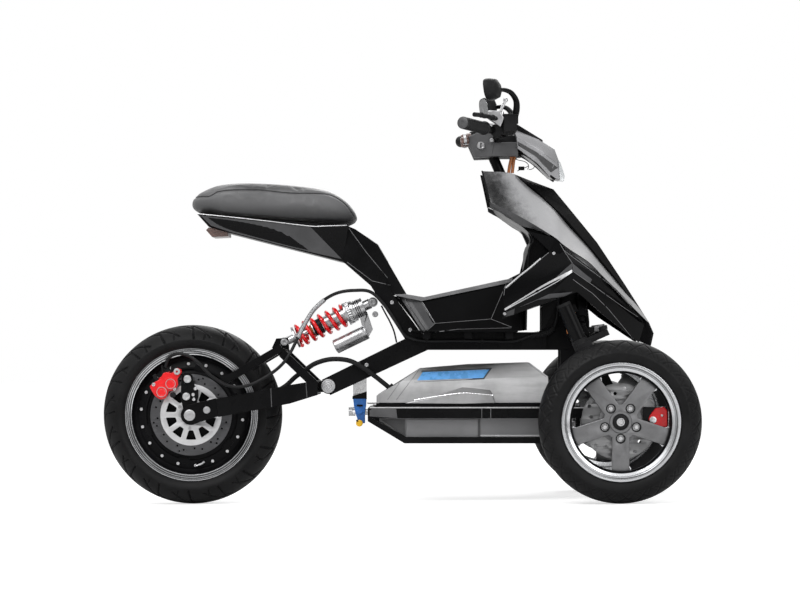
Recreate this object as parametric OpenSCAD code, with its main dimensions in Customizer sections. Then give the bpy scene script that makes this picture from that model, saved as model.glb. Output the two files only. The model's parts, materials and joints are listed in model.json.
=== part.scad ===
/* [Wheels] */
// Radius of the rear tyre
rear_r = 243; // [225:1:260]
// Section width of the rear tyre
rear_tyre_w = 130; // [110:1:140]
// Radius of the rear rim's flange
rear_flange_r = 180; // [170:1:185]
// Radius of the two front tyres
front_r = 213; // [195:1:225]
// Section width of the front tyres
front_tyre_w = 110; // [90:1:120]
// Radius of the front rims' flange
front_flange_r = 155; // [148:1:160]
// Distance between the rear axle and the front axle
wheelbase = 1140; // [1080:1:1250]
// Distance between the middles of the front wheels
track = 700; // [680:1:780]

/* [Brakes] */
// Radius of the front brake discs
front_disc_r = 100; // [85:1:105]
// Radius of the rear brake disc
rear_disc_r = 110; // [95:1:115]
// Thickness of every brake disc
disc_t = 4; // [3:0.5:5]
// Free space on each side of a disc
disc_gap = 5.5; // [5:0.5:7]

/* [Frame] */
// Distance between the outer faces of the two frame rails
rail_span = 180; // [170:1:190]
// Width of one rail
rail_w = 30; // [20:1:36]
// Depth of one rail
rail_h = 48; // [40:1:52]
// Angle by which the sprung body stands nose down
nose_down = 0.945; // [0:0.005:1.5]

/* [Steering] */
// Rake of the steering axis and of the kingpins
rake = 24; // [20:0.5:26]
// Radius of the steering column
column_r = 14; // [11:0.5:16]
// Radius of the kingpins
kingpin_r = 12; // [9:0.5:13]
// Radial clearance of every running fit
fit_gap = 0.05; // [0.02:0.01:0.1]
// Length of the pitman arm and of both steering arms
steer_arm = 70; // [60:1:76]
// Distance between the two kingpins
kingpin_span = 524; // [516:1:530]

/* [Seat and bars] */
// Width of the seat cushion
seat_w = 250; // [210:1:280]
// Distance between the outer ends of the grips
bar_span = 700; // [640:1:760]
// Radius of the handlebar tube
bar_r = 11; // [10:0.5:12.5]
// Radius of the grips
grip_r = 15.5; // [14:0.5:18]

/* [Battery] */
// Width of the battery box
battery_w = 290; // [250:1:296]
// Width of one cradle rail
cradle_rail_w = 25; // [15:1:28]

/* [Hidden] */
$fn = 48;
// Clearance between separate pieces that lie close
seam = 0.3;

// Place of the sprung body in the vehicle's frame
datum = [109.5, 0, 423.3];
rear_axle_x = (rear_r - wheelbase - front_r) / 2;
front_axle_x = rear_axle_x + wheelbase;
// A point [x, z] of the vehicle's frame, in the body's own frame
function in_body(x, z) = [
    (x - datum.x) * cos(nose_down) - (z - datum.z) * sin(nose_down),
    (x - datum.x) * sin(nose_down) + (z - datum.z) * cos(nose_down)
];
rear_axle = in_body(rear_axle_x, rear_r);
front_axle = in_body(front_axle_x, front_r);

// Rails and what is measured from them
rail_top = 32;
rail_bottom = rail_top - rail_h;
rail_out = rail_span / 2;
rail_in = rail_out - rail_w;
rail_front = 285;
pivot = [-290, -113];
pivot_bolt_r = 8;

// Swingarm
leg_in = rear_tyre_w / 2 + 27;
leg_out = leg_in + 26;
axle_r = 10;
dropout_r = 24;

// Wheels: widths measured from each wheel's own middle plane
rear_rim_half = rear_tyre_w / 2 - 13;
rear_seat_r = rear_flange_r - 15;
motor_r = rear_seat_r - 15;
motor_half = 42;
rear_disc_z = 66;
front_rim_half = front_tyre_w / 2 - 8;
front_seat_r = front_flange_r - 15;
barrel_in_r = front_seat_r - 8;
spoke_z = 8;
spoke_t = 20;
front_disc_z = -25;
hub_r = 30;
stub_r = 12.5;
lug_circle_r = 43;

// Steering: the column's foot, which is also the height of the arms
foot = [382, 0];
kingpin_y = kingpin_span / 2;
arm_half_t = 8;
ball_pin_r = 5;
head_low = 141;
head_high = 276;
upright_low = 14;
upright_high = 108;
tower_out = 72;
tower_in = 60;

// Battery and cradle
case_half = battery_w / 2;
cradle_out = case_half + cradle_rail_w;
case_top = -157;
case_bottom = -248;

// ---------------------------------------------------------------- helpers

// Puts the body's frame in the vehicle's frame
module body_frame() {
    translate(datum) rotate([0, nose_down, 0]) children();
}

// The children on the right side and mirrored on the left
module both() {
    children();
    mirror([0, 1, 0]) children();
}

// An outline in x and z, solid from y = y0 to y = y1
module slab(outline, y0, y1) {
    translate([0, y1, 0]) rotate([90, 0, 0]) linear_extrude(y1 - y0) polygon(outline);
}

// A round bar along y
module bar_y(at, y0, y1, r) {
    translate([at.x, y1, at.y]) rotate([90, 0, 0]) cylinder(h = y1 - y0, r = r);
}

// A round bar from p to q
module rod(p, q, r) {
    d = q - p;
    translate(p) rotate([0, acos(d.z / norm(d)), atan2(d.y, d.x)]) cylinder(h = norm(d), r = r);
}

// Round bars through a list of points, with ball corners that stand a little proud
bend_proud = 1.6;
module bent_bar(points, r) {
    for (i = [1 : len(points) - 1]) rod(points[i - 1], points[i], r);
    for (i = [1 : 1 : len(points) - 2]) translate(points[i]) sphere(r + bend_proud);
}

// Local z along the steering axis, local x square to it and forward
module on_axis(y) {
    translate([foot.x, y, foot.y]) rotate([0, -rake, 0]) children();
}

// Local z outward from the right-hand wheel's middle plane
module at_wheel(axle, y) {
    translate([axle.x, y, axle.y]) rotate([90, 0, 0]) children();
}

// Skin through closed rings of equal length, with flat ends
module loft(rings) {
    n = len(rings[0]);
    m = len(rings);
    points = [for (ring = rings) each ring];
    faces = [
        [for (j = [0 : n - 1]) j],
        for (i = [0 : m - 2], j = [0 : n - 1])
            each [
                [i * n + j, (i + 1) * n + j, i * n + (j + 1) % n],
                [i * n + (j + 1) % n, (i + 1) * n + j, (i + 1) * n + (j + 1) % n]
            ],
        [for (j = [n - 1 : -1 : 0]) (m - 1) * n + j]
    ];
    polyhedron(points, faces, convexity = 8);
}

// Shell of a grid of points: the outer skin and a copy moved by inward
module shell(rows, inward) {
    m = len(rows);
    n = len(rows[0]);
    skin = [for (row = rows) each row];
    points = [each skin, for (p = skin) p + inward];
    back = m * n;
    faces = [
        for (i = [0 : m - 2], j = [0 : n - 2])
            let (a = i * n + j, b = a + n)
            each [
                [a, b, a + 1], [a + 1, b, b + 1],
                [back + a, back + a + 1, back + b], [back + a + 1, back + b + 1, back + b]
            ],
        for (i = [0 : m - 2])
            let (a = i * n, b = a + n, c = a + n - 1, d = c + n)
            each [[b, a, back + a, back + b], [c, d, back + d, back + c]],
        for (j = [0 : n - 2])
            let (a = j, b = (m - 1) * n + j)
            each [[a, a + 1, back + a + 1, back + a], [b + 1, b, back + b, back + b + 1]]
    ];
    polyhedron(points, faces, convexity = 8);
}

function unit(v) = v / norm(v);
// Direction of a path at point i
function heading(path, i) = unit(path[min(i + 1, len(path) - 1)] - path[max(i - 1, 0)]);
// Ring of n points round one point of a path
function path_ring(path, i, r, n) =
    let (
        t = heading(path, i),
        side = unit(cross(t, abs(t.y) > 0.9 ? [1, 0, 0] : [0, 1, 0])),
        up = cross(t, side)
    )
    [for (k = [0 : n - 1]) path[i] + r * (cos(360 * k / n) * side + sin(360 * k / n) * up)];
// A point on a smooth curve through p1 and p2
function curve_point(p0, p1, p2, p3, t) =
    0.5 * (2 * p1 + (p2 - p0) * t + (2 * p0 - 5 * p1 + 4 * p2 - p3) * t * t
        + (3 * p1 - 3 * p2 + p3 - p0) * t * t * t);
// A path through every point of a list, each stretch cut in steps
function smooth_path(p, steps) = [
    for (i = [0 : len(p) - 2], s = [0 : steps - 1])
        curve_point(p[max(i - 1, 0)], p[i], p[i + 1], p[min(i + 2, len(p) - 1)], s / steps),
    p[len(p) - 1]
];
// A hose or cable along a path
module hose(path, r, n = 8) {
    loft([for (i = [0 : len(path) - 1]) path_ring(path, i, r, n)]);
}

// ---------------------------------------------------------------- frame

rail_slope = (rail_bottom - (pivot.y - 25)) / (-22 - (pivot.x + 5));
rail_outline = [
    [pivot.x - 17, pivot.y + 17],
    [-84, rail_top - 18],
    [-60, rail_top],
    [rail_front, rail_top],
    [rail_front, rail_bottom],
    [-22, rail_bottom],
    [pivot.x + 5, pivot.y - 25]
];
hanger_bar = [-206, -84];
cross_tubes = [[-120, -36], [0, 6], [140, 6], [265, 6]];
outriggers = [-35, 75, 185];
board_out = 200;

module frame_spine() {
    color("black") difference() {
        union() {
            both() slab(rail_outline, -rail_out, -rail_in);
            for (at = cross_tubes) bar_y(at, -rail_out + 2, rail_out - 2, 15);
            bar_y(hanger_bar, -rail_out + 2, rail_out - 2, 11);
            both() for (x = outriggers)
                translate([x, -board_out + 10, rail_top - 18])
                    cube([20, board_out - 10 - rail_out + 1, 18]);
        }
        bar_y(pivot, -rail_out - 1, rail_out + 1, pivot_bolt_r);
    }
}

mast_top = [[-251, 222], [-237, 318], [-218, 310], [-157, 269]];
tunnel_rear = [[-114, 130], [-38, rail_top]];
mast_outline = [
    each mast_top,
    [-81, 137],
    [tunnel_rear[0].x - 2, tunnel_rear[0].y + 3],
    [tunnel_rear[1].x - 4, rail_top],
    [-60, rail_top],
    [-84, rail_top - 18],
    [-148, 112],
    [-176, 157]
];
module seat_mast() {
    color("black") {
        slab(mast_outline, -rail_out + 12, rail_out - 12);
        both() slab([
            [-251, 222], [-237, 316], [-150, 205], [-117, 131], [tunnel_rear[1].x - 4, rail_top],
            [-60, rail_top], [-84, rail_top - 18], [-148, 112], [-176, 157]
        ], -rail_out, -rail_out + 13);
    }
}

tower_outline = [
    [rail_front, rail_bottom], [414, rail_bottom], [414, 60], [403, 165], [350, 165],
    [rail_front, 112]
];
module front_crossmember() {
    color("black") {
        both() slab(tower_outline, -tower_out, -tower_in);
        translate([rail_front, -rail_out, rail_bottom]) cube([12, 2 * rail_out, rail_h]);
        difference() {
            translate([rail_front, -tower_out + 1, 100]) cube([88, 2 * tower_out - 2, 12]);
            on_axis(0) cylinder(h = 200, r = column_r + 13);
        }
    }
}

module head_tube() {
    color("black") difference() {
        union() {
            on_axis(0) translate([0, 0, head_low]) cylinder(h = head_high - head_low, r = 24);
            both() slab([[298, 112], [366, 112], [336, 190], [284, 235], [280, 170]],
                -column_r - 14, -column_r - 6);
        }
        on_axis(0) translate([0, 0, head_low - 40])
            cylinder(h = head_high - head_low + 80, r = column_r + fit_gap);
    }
}

// ---------------------------------------------------------------- rear suspension

leg_top = [[-589, -147], [-392, -111], [-318, -99]];
leg_low = [[-318, -137], [-392, -160], [-584, -196]];
stay_foot = [-570, -112];
stay_head = [-421, -25];
brace_foot = [-335, -108];
shock_low = [-412, 5];
shock_high = [-172, 114];

module swingarm() {
    color("black") difference() {
        union() {
            both() {
                slab([each leg_top, each leg_low], -leg_out, -leg_in);
                slab([
                    [rear_axle.x - 12, rear_axle.y + dropout_r - 4], [-588, -150], [-583, -194],
                    [rear_axle.x + 4, rear_axle.y - dropout_r + 1]
                ], -leg_out + 6, -leg_in - 8);
                bar_y(rear_axle, -leg_out + 6, -leg_in - 8, dropout_r);
                hull() for (p = [stay_foot, stay_head])
                    translate([p.x, -leg_out + 2, p.y]) rotate([0, -30, 0])
                        cube([14, leg_out - leg_in - 4, 20], center = false);
                hull() for (p = [stay_head, brace_foot])
                    translate([p.x, -leg_out + 2, p.y - 8]) rotate([0, 36, 0])
                        cube([8, leg_out - leg_in - 4, 22], center = false);
            }
            translate([-346, -leg_in - 1, -134]) cube([28, 2 * leg_in + 2, 32]);
            translate([-330, -rail_in, -130]) cube([40, 2 * rail_in, 30]);
            bar_y(pivot, -rail_in, rail_in, 22);
            bar_y([stay_head.x + 8, stay_head.y + 2], -leg_in - 2, leg_in + 2, 12);
            both() slab([
                [shock_low.x - 34, shock_low.y - 16], [shock_low.x - 22, shock_low.y + 10],
                [shock_low.x + 10, shock_low.y + 12], [shock_low.x + 12, shock_low.y - 30]
            ], -22, -15);
        }
        bar_y(pivot, -rail_in - 1, rail_in + 1, pivot_bolt_r);
        bar_y(rear_axle, -leg_out - 1, leg_out + 1, axle_r);
        bar_y(shock_low, -24, 24, 5);
    }
}

module pivot_bolt() {
    color("silver") {
        bar_y(pivot, -rail_out - 2, rail_out + 2, pivot_bolt_r);
        both() bar_y(pivot, -rail_out - 10, -rail_out, 19);
    }
}

module rear_axle_bolt() {
    color("silver") {
        bar_y(rear_axle, -leg_out - 6, leg_out + 6, axle_r);
        both() {
            bar_y(rear_axle, -leg_out - 3, -leg_out + 6, 15);
            bar_y(rear_axle, -leg_in - 8, -motor_half - 1, 16);
        }
    }
}

caliper_mid = rear_axle + [-68, 82];
caliper_turn = 130;
module rear_caliper() {
    caliper_in = rear_disc_z - motor_half - 5.5;
    color("red") difference() {
        translate([caliper_mid.x, -rear_disc_z, caliper_mid.y])
            rotate([0, -caliper_turn, 0]) union() {
                translate([-28, -21, -36]) cube([56, 21 + caliper_in, 72]);
                translate([-6, -21, -52]) cube([18, 20, 104]);
            }
        at_wheel(rear_axle, -rear_disc_z) translate([0, 0, -disc_t / 2 - disc_gap])
            cylinder(h = disc_t + 2 * disc_gap, r = rear_disc_r + disc_gap);
    }
}

bracket_y = rear_disc_z + 21;
module rear_caliper_bracket() {
    color("black") difference() {
        union() {
            slab([
                rear_axle + [-26, 4], rear_axle + [-62, 34], rear_axle + [-40, 126],
                rear_axle + [-8, 118], rear_axle + [18, 30], rear_axle + [22, -4]
            ], -bracket_y - 6, -bracket_y);
            bar_y(rear_axle, -bracket_y - 6, -bracket_y, 27);
        }
        bar_y(rear_axle, -bracket_y - 7, -bracket_y + 1, 16);
    }
}

// Points chosen by hand along the hose's real route, right side
hose_points = [
    [-728, -88, -62], [-719, -96, -38], [-695, -105, -26], [-664, -112, -32], [-636, -120, -52],
    [-604, -126, -84], [-566, -128, -108], [-530, -128, -115], [-492, -127, -107],
    [-446, -126, -82], [-412, -126, -54], [-390, -121, -22], [-372, -100, 16], [-354, -80, 54],
    [-330, -72, 92],
    [-300, -76, 120], [-264, -88, 138], [-222, -96, 144], [-176, -98, 140], [-138, -96, 104],
    [-104, -96, 54], [-78, -96, 20], [-28, -96, 9], [60, -96, 9], [140, -96, 8], [212, -96, 8],
    [256, -96, 22], [298, -96, 31], [316, -93, 44], [325, -88, 68], [328, -82, 96],
    [332, -79, 135]
];
hose_r = 4.5;
module rear_brake_hose() {
    color([0.2, 0.2, 0.2]) hose(smooth_path(hose_points, 2), hose_r);
}

cable_points = [
    [-430, -84, -128], [-404, -84, -112], [-378, -84, -88], [-352, -85, -70], [-324, -90, -52],
    [-283, -98, -41], [-236, -104, -44], [-198, -108, -62], [-162, -110, -88], [-128, -111, -115]
];
cable_path = smooth_path(cable_points, 2);
cable_end = cable_path[len(cable_path) - 1];
cable_heading = heading(cable_path, len(cable_path) - 1);
gland_h = 10;
cable_r = 6.5;
module motor_cable() {
    color([0.15, 0.15, 0.15]) hose(cable_path, cable_r, 10);
}

module shock_body() {
    axis_up = unit([shock_high.x - shock_low.x, 0, shock_high.y - shock_low.y]);
    length = norm(shock_high - shock_low);
    turn = 90 - atan2(axis_up.z, axis_up.x);
    color("silver") difference() {
        translate([shock_low.x, 0, shock_low.y]) rotate([0, turn, 0]) {
            translate([0, 0, 8]) cylinder(h = 24, r = 11);
            translate([0, 0, 30]) cylinder(h = 5, r = 30);
            translate([0, 0, 34]) cylinder(h = 60, r = 8);
            translate([0, 0, 84]) cylinder(h = 104, r = 20);
            translate([0, 0, 183]) cylinder(h = 5, r = 32);
            translate([0, 0, 187]) cylinder(h = 50, r = 25);
            translate([0, 0, 232]) cylinder(h = length - 240, r = 14);
            rotate([90, 0, 0]) translate([0, 0, -15]) cylinder(h = 30, r = 13);
            translate([0, 0, length]) rotate([90, 0, 0]) translate([0, 0, -15])
                cylinder(h = 30, r = 13);
        }
        bar_y(shock_low, -20, 20, 5);
        bar_y(shock_high, -20, 20, 5);
    }
}

spring_turns = 7;
spring_r = 28;
wire_r = 4;
module shock_spring() {
    turn = 90 - atan2(shock_high.y - shock_low.y, shock_high.x - shock_low.x);
    low = 35 + wire_r;
    high = 183 - wire_r;
    steps = 20;
    color("red") translate([shock_low.x, 0, shock_low.y]) rotate([0, turn, 0])
        hose([
            for (i = [0 : spring_turns * steps])
                let (a = 360 * i / steps)
                [spring_r * cos(a), spring_r * sin(a), low + (high - low) * i / spring_turns / steps]
        ], wire_r, 6);
}

module shock_reservoir() {
    color("silver") {
        rod([-274, 0, -8], [-189, 0, 33], 19.5);
        difference() {
            slab([[-208, 76], [-188, 88], [-172, 40], [-182, 22], [-196, 26]], -8, 8);
            shock_body();
        }
    }
}

// ---------------------------------------------------------------- seat and tail

seat_low = [[-641, 350], [-236, 318]];
module seat_base() {
    color([0.1, 0.1, 0.1]) difference() {
        hull() for (p = [
            [-641, 105, 350], [-236, 105, 318], [-612, 88, 317], [-558, 84, 301], [-251, 78, 223]
        ]) both() translate([p.x, -p.y, p.z - 0.5]) cube(1, center = true);
        slab(mast_outline, -rail_out, rail_out);
    }
}

module seat_cushion() {
    half = seat_w / 2;
    ball = 42;
    color([0.25, 0.25, 0.25]) intersection() {
        hull() both() {
            translate([-625, -half + 72, 390]) sphere(ball, $fn = 32);
            translate([-585, -half + ball, 389]) sphere(ball, $fn = 32);
            translate([-310, -half + ball, 374]) sphere(ball, $fn = 32);
            translate([-252, -half + 78, 352]) sphere(ball, $fn = 32);
        }
        slab([
            [-680, seat_low[0].y + 4], seat_low[0] + [0, seam + 0.5], seat_low[1] + [0, seam + 0.5],
            [-180, 330], [-180, 480], [-680, 480]
        ], -half, half);
    }
}

module tail_lamp() {
    color([0.3, 0.15, 0.12])
        slab([[-614, 315.5], [-562, 300.5], [-562, 291], [-605, 289], [-622, 308]], -60, 60);
}

// ---------------------------------------------------------------- covers and fairings

board_t = 4;
function mirrored_ring(half) = [
    each half,
    for (k = [len(half) - 1 : -1 : 0]) [half[k].x, -half[k].y, half[k].z]
];
module tunnel_cover() {
    low = rail_top + board_t;
    color("black") difference() {
        loft([
            mirrored_ring([[-38, 88, low], [-76, 84, 81], [-114, 60, 130]]),
            mirrored_ring([[-26, 128, low], [-1, 106, 55], [-41, 78, 117]]),
            mirrored_ring([[204, 128, low], [148, 106, 67], [184, 78, 170]]),
            mirrored_ring([[232, 120, low], [232, 104, 90], [232, 78, 194]])
        ]);
        slab(mast_outline, -rail_out - 40, rail_out + 40);
    }
}

module footboards() {
    color("black") difference() {
        translate([-66, -board_out, rail_top]) cube([284, 2 * board_out, board_t]);
        slab(mast_outline, -rail_out, rail_out);
    }
}

shell_t = 4;
module inner_leg_shield() {
    rows = [
        for (p = [
            [234, 234, 126, 37], [234, 232, 150, 195], [246, 235, 160, 250], [252, 232, 168, 279],
            [224, 217, 162, 312], [148, 148, 134, 363], [128, 128, 96, 462]
        ])
            [[p[0], p[2], p[3]], [p[1], 60, p[3]], [p[1], -60, p[3]], [p[0], -p[2], p[3]]]
    ];
    color("black") difference() {
        shell(rows, [shell_t + 1, 0, 0]);
        fairing_skin();
        mirror([0, 1, 0]) fairing_skin();
        apron_skin();
        mirror([0, 1, 0]) apron_skin();
    }
}

// Upper edge of the side fairing, which is also the hood's edge
fairing_top = [
    [123, -98, 465], [208, -95, 457], [270, -97, 413], [345, -98, 341], [419, -92, 256],
    [494, -72, 166], [562, -44, 72]
];
// Lower edge of the side fairing
fairing_low = [
    [144, -150, 377], [200, -178, 346], [264, -202, 312], [316, -215, 285], [346, -214, 253],
    [440, -188, 184], [528, -108, 101]
];
fairing_under = [
    [148, -138, 360], [204, -164, 330], [262, -190, 298], [308, -203, 272], [340, -203, 243],
    [436, -178, 172], [526, -98, 88]
];
module fairing_skin() {
    shell([
        for (i = [0 : len(fairing_top) - 1]) [fairing_top[i], fairing_low[i], fairing_under[i]]
    ], [0, shell_t, -1]);
}
module fairing_right() {
    color([0.6, 0.6, 0.62]) fairing_skin();
}
module fairing_left() {
    color([0.6, 0.6, 0.62]) mirror([0, 1, 0]) fairing_skin();
}

hood_centre = [
    [211, 0, 463], [260, 0, 443], [319, 0, 421], [371, 0, 358], [437, 0, 277], [512, 0, 164],
    [578, 0, 60], [591, 0, 30], [584, 0, -2]
];
hood_edge = [
    fairing_top[1], [242, -96, 433], fairing_top[2], fairing_top[3], fairing_top[4],
    fairing_top[5], fairing_top[6], [576, -40, 30], [568, -38, 0]
];
module fairing_hood() {
    color([0.1, 0.1, 0.1]) difference() {
        shell([
            for (i = [0 : len(hood_edge) - 1])
                let (e = hood_edge[i], c = hood_centre[i])
                [[e.x, -e.y, e.z], c + [0, 25, -1], c + [0, -25, -1], e]
        ], [-2, 0, -shell_t]);
        fairing_skin();
        mirror([0, 1, 0]) fairing_skin();
    }
}

// The leg panel below the fairing: a boomerang with a raised crease
apron_rows = [
    [[247, -187, 300], [316, -212, 281], [346, -211, 249], [440, -185, 180], [526, -105, 98]],
    [[301, -210, 246], [326, -212, 238], [350, -210, 222], [442, -184, 165], [540, -96, 84]],
    [[178, -160, 145], [270, -186, 170], [361, -206, 202], [452, -172, 140], [563, -62, 58]],
    [[181, -166, 91], [270, -192, 140], [363, -209, 190], [452, -174, 128], [562, -64, 50]],
    [[176, -158, 66], [270, -182, 102], [375, -197, 138], [450, -164, 74], [548, -60, 4]]
];
module apron_skin() {
    shell([for (k = [0 : 4]) [for (row = apron_rows) row[k]]], [0, shell_t, 0]);
}
module apron_right() {
    color("black") difference() {
        apron_skin();
        fairing_skin();
        fairing_hood();
    }
}
module apron_left() {
    mirror([0, 1, 0]) apron_right();
}

// ---------------------------------------------------------------- battery

module battery_cover() {
    color([0.75, 0.75, 0.75]) difference() {
        hull() both() for (p = [
            [-159, 0, case_top], [-159, 0, -139], [-97, -10, -103], [-44, -40, -67], [87, -44, -56],
            [250, -44, -51], [299, -20, -88], [302, 0, case_top]
        ]) translate([p.x, -case_half - p.y - 5, p.z]) cube([1, 5, 1]);
        rod(cable_end - 30 * cable_heading, cable_end + gland_h * cable_heading, 16);
    }
}

module battery_case() {
    color([0.4, 0.4, 0.4]) slab([
        [-152, case_top], [300, case_top], [300, case_bottom], [-84, case_bottom], [-152, -205]
    ], -case_half, case_half);
}

module battery_cradle() {
    color("black") {
        both() {
            slab([[-182, -171], [400, -171], [400, -198], [-182, -198]], -cradle_out, -case_half);
            slab([
                [-182, -198], [-170, -198], [-80, case_bottom], [401, case_bottom], [401, -265],
                [-84, -265], [-182, -206]
            ], -cradle_out, -case_half);
            translate([388, -cradle_out, -250]) cube([12, cradle_rail_w, 60]);
        }
        translate([-182, -case_half - 1, -198]) cube([12, 2 * case_half + 2, 27]);
        for (x = [-60, 120, 290])
            translate([x, -case_half - 1, -265]) cube([40, 2 * case_half + 2, 17]);
        translate([330, -case_half - 1, -198]) cube([50, 2 * case_half + 2, 27]);
        both() translate([335, -tower_out, -172]) cube([40, tower_out - tower_in, 172 + rail_bottom]);
    }
}

module cable_gland() {
    color("black") rod(cable_end, cable_end + gland_h * cable_heading, 13);
}

strap_y = -58;
module cradle_hanger() {
    color([0.8, 0.8, 0.8]) difference() {
        translate([hanger_bar.x - 18, strap_y, -148]) cube([36, 12, 80]);
        bar_y(hanger_bar, -rail_out, rail_out, 11);
    }
}

module lean_lock() {
    color([0.12, 0.35, 0.62]) {
        slab([[-222, -148], [-190, -148], [-192, -214], [-212, -214]], strap_y - 6, strap_y + 18);
        rod([-195, strap_y + 6, -184], [-182, strap_y + 6, -184], 6);
        rod([-234, strap_y + 6, -184], [-216, strap_y + 6, -184], 11);
    }
}

module lean_lock_knob() {
    color([1, 0.78, 0.1]) bar_y([-208, -222], strap_y - 8, strap_y + 8, 8);
}

// ---------------------------------------------------------------- front suspension

module arm_pair(low, high, back, front) {
    both() on_axis(0) translate([back, -kingpin_y + 34, low])
        cube([front - back, kingpin_y - 34 - tower_out, high - low]);
}
module lower_arms() {
    color("black") arm_pair(15, 37, -18, 34);
}
module upper_arms() {
    color("black") arm_pair(82, 102, -2, 24);
}

module uprights() {
    color([0.2, 0.2, 0.2]) both() on_axis(-kingpin_y) difference() {
        union() {
            translate([0, 0, upright_low]) cylinder(h = upright_high - upright_low, r = 20);
            translate([-18, 0, 15]) cube([36, 34, 22]);
            translate([-2, 0, 82]) cube([30, 34, 20]);
        }
        translate([0, 0, upright_low - 1])
            cylinder(h = upright_high - upright_low + 2, r = kingpin_r + fit_gap);
    }
}

module front_shocks() {
    color("silver") both() difference() {
        union() {
            rod([388, -192, 56], [388, -92, 146], 8);
            rod([388, -180, 67], [388, -112, 128], 15);
            translate([388, -198, 40]) cylinder(h = 16, r = 9);
            rod([388, -tower_out, 148], [388, -96, 148], 11);
        }
        on_axis(0) translate([-40, -kingpin_y, -20]) cube([100, 300, 57]);
    }
}

// ---------------------------------------------------------------- steering

module steering_arm() {
    hull() {
        translate([0, 0, -arm_half_t]) cylinder(h = 2 * arm_half_t, r = 13, $fn = 32);
        translate([steer_arm, 0, -arm_half_t]) cylinder(h = 2 * arm_half_t, r = 9, $fn = 32);
    }
    translate([steer_arm, 0, arm_half_t - 1]) cylinder(h = 14, r = ball_pin_r);
}

column_top = 606;
race_r = column_r + 5;
module steering_column() {
    color("black") on_axis(0) {
        translate([0, 0, -12]) cylinder(h = column_top + 12, r = column_r);
        steering_arm();
        translate([0, 0, head_low - 6]) cylinder(h = 6 - seam, r = race_r);
        translate([0, 0, head_high + seam]) cylinder(h = 8, r = race_r);
    }
}

bar_mid = [166, 556];
bar_flat = 70;
bar_bend = [bar_mid.x + 16, -130, 566];
bar_inner = [135, -230, 569];
grip_end = [70, -bar_span / 2, 576];
grip_dir = unit(grip_end - bar_inner);
module clamp_block() {
    translate([bar_mid.x - 50, -28, bar_mid.y - 34]) cube([66, 56, 50]);
}
module handlebar() {
    color("black") {
        bar_y(bar_mid, -bar_flat, bar_flat, bar_r);
        both() {
            translate([bar_mid.x, -bar_flat, bar_mid.y]) sphere(bar_r + bend_proud);
            bent_bar([
                [bar_mid.x, -bar_flat, bar_mid.y], bar_bend, bar_inner, grip_end - 3 * grip_dir
            ], bar_r);
        }
        difference() {
            clamp_block();
            on_axis(0) cylinder(h = column_top + seam, r = column_r + fit_gap);
        }
    }
}

module grips() {
    color([0.12, 0.12, 0.12]) both() difference() {
        rod(bar_inner + 0.1 * (grip_end - bar_inner), grip_end, grip_r);
        rod(bar_inner, grip_end - (3 - seam) * grip_dir, bar_r + seam);
    }
}

module brake_levers() {
    color("silver") both() difference() {
        union() {
            translate([172, -204, 562]) cube([40, 46, 42]);
            rod([160, -206, 566], [160, -176, 569], 17);
            bent_bar([[182, -200, 590], [150, -240, 598], [118, -300, 600], [100, -340, 598]], 6);
        }
        bent_bar([bar_bend, bar_inner, grip_end], bar_r + fit_gap);
    }
}

mirror_arm = [[206, -196, 606], [208, -212, 632], [188, -262, 662], [158, -322, 669]];
module mirrors() {
    color("black") both() {
        hose(smooth_path(mirror_arm, 4), 6, 12);
        hull() {
            translate([136, -330, 650]) rotate([90, 0, 0]) cylinder(h = 66, r = 10, center = true);
            translate([140, -330, 690]) rotate([90, 0, 0]) cylinder(h = 50, r = 8, center = true);
            translate([158, -330, 668]) rotate([90, 0, 0]) cylinder(h = 30, r = 8, center = true);
        }
    }
}

module cowl_skin() {
    loft([
        mirrored_ring([[220, 76, 527], [216, 84, 560], [212, 60, 580]]),
        mirrored_ring([[274, 76, 486], [280, 84, 522], [278, 54, 554]]),
        mirrored_ring([[306, 54, 452], [322, 62, 492], [322, 40, 527]]),
        mirrored_ring([[336, 36, 444], [333, 44, 472], [332, 30, 500]])
    ]);
}
module head_cowl() {
    color([0.6, 0.6, 0.62]) cowl_skin();
}

module headlamp_lens() {
    color([0.85, 0.9, 0.95]) both() hull() for (p = [
        [337, 36, 444], [334, 44, 472], [333, 30, 499], [347, 30, 443], [349, 36, 456],
        [338, 24, 492]
    ]) for (y = [0, -p.y]) translate([p.x, y, p.z]) cube(0.1);
}

module switch_box() {
    color([0.2, 0.2, 0.2]) difference() {
        union() {
            slab([[95, 548], [107, 572], [124, 572], [124, 508], [107, 508]], -70, 70);
            slab([[124, 536], [206, 536], [200, 508], [124, 508]], -52, 52);
            slab([[204, 536], [226, 536], [226, 522], [204, 522]], -40, 40);
        }
        cowl_skin();
        on_axis(0) cylinder(h = column_top, r = column_r + fit_gap);
        clamp_block();
    }
}

module indicators() {
    color([0.35, 0.2, 0.15]) both() rod([74, -46, 555], [94.5, -46, 555], 16);
}

eye_low = arm_half_t + 1;
module tie_rod() {
    color([0.15, 0.15, 0.15]) on_axis(0) difference() {
        union() {
            translate([steer_arm, -kingpin_y, eye_low + 5]) rotate([-90, 0, 0])
                cylinder(h = 2 * kingpin_y, r = 5);
            for (y = [-kingpin_y, 0, kingpin_y])
                translate([steer_arm, y, eye_low]) cylinder(h = 10, r = 11);
        }
        for (y = [-kingpin_y, 0, kingpin_y])
            translate([steer_arm, y, eye_low - 1]) cylinder(h = 12, r = ball_pin_r + fit_gap);
    }
}

// ---------------------------------------------------------------- front corners

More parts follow.
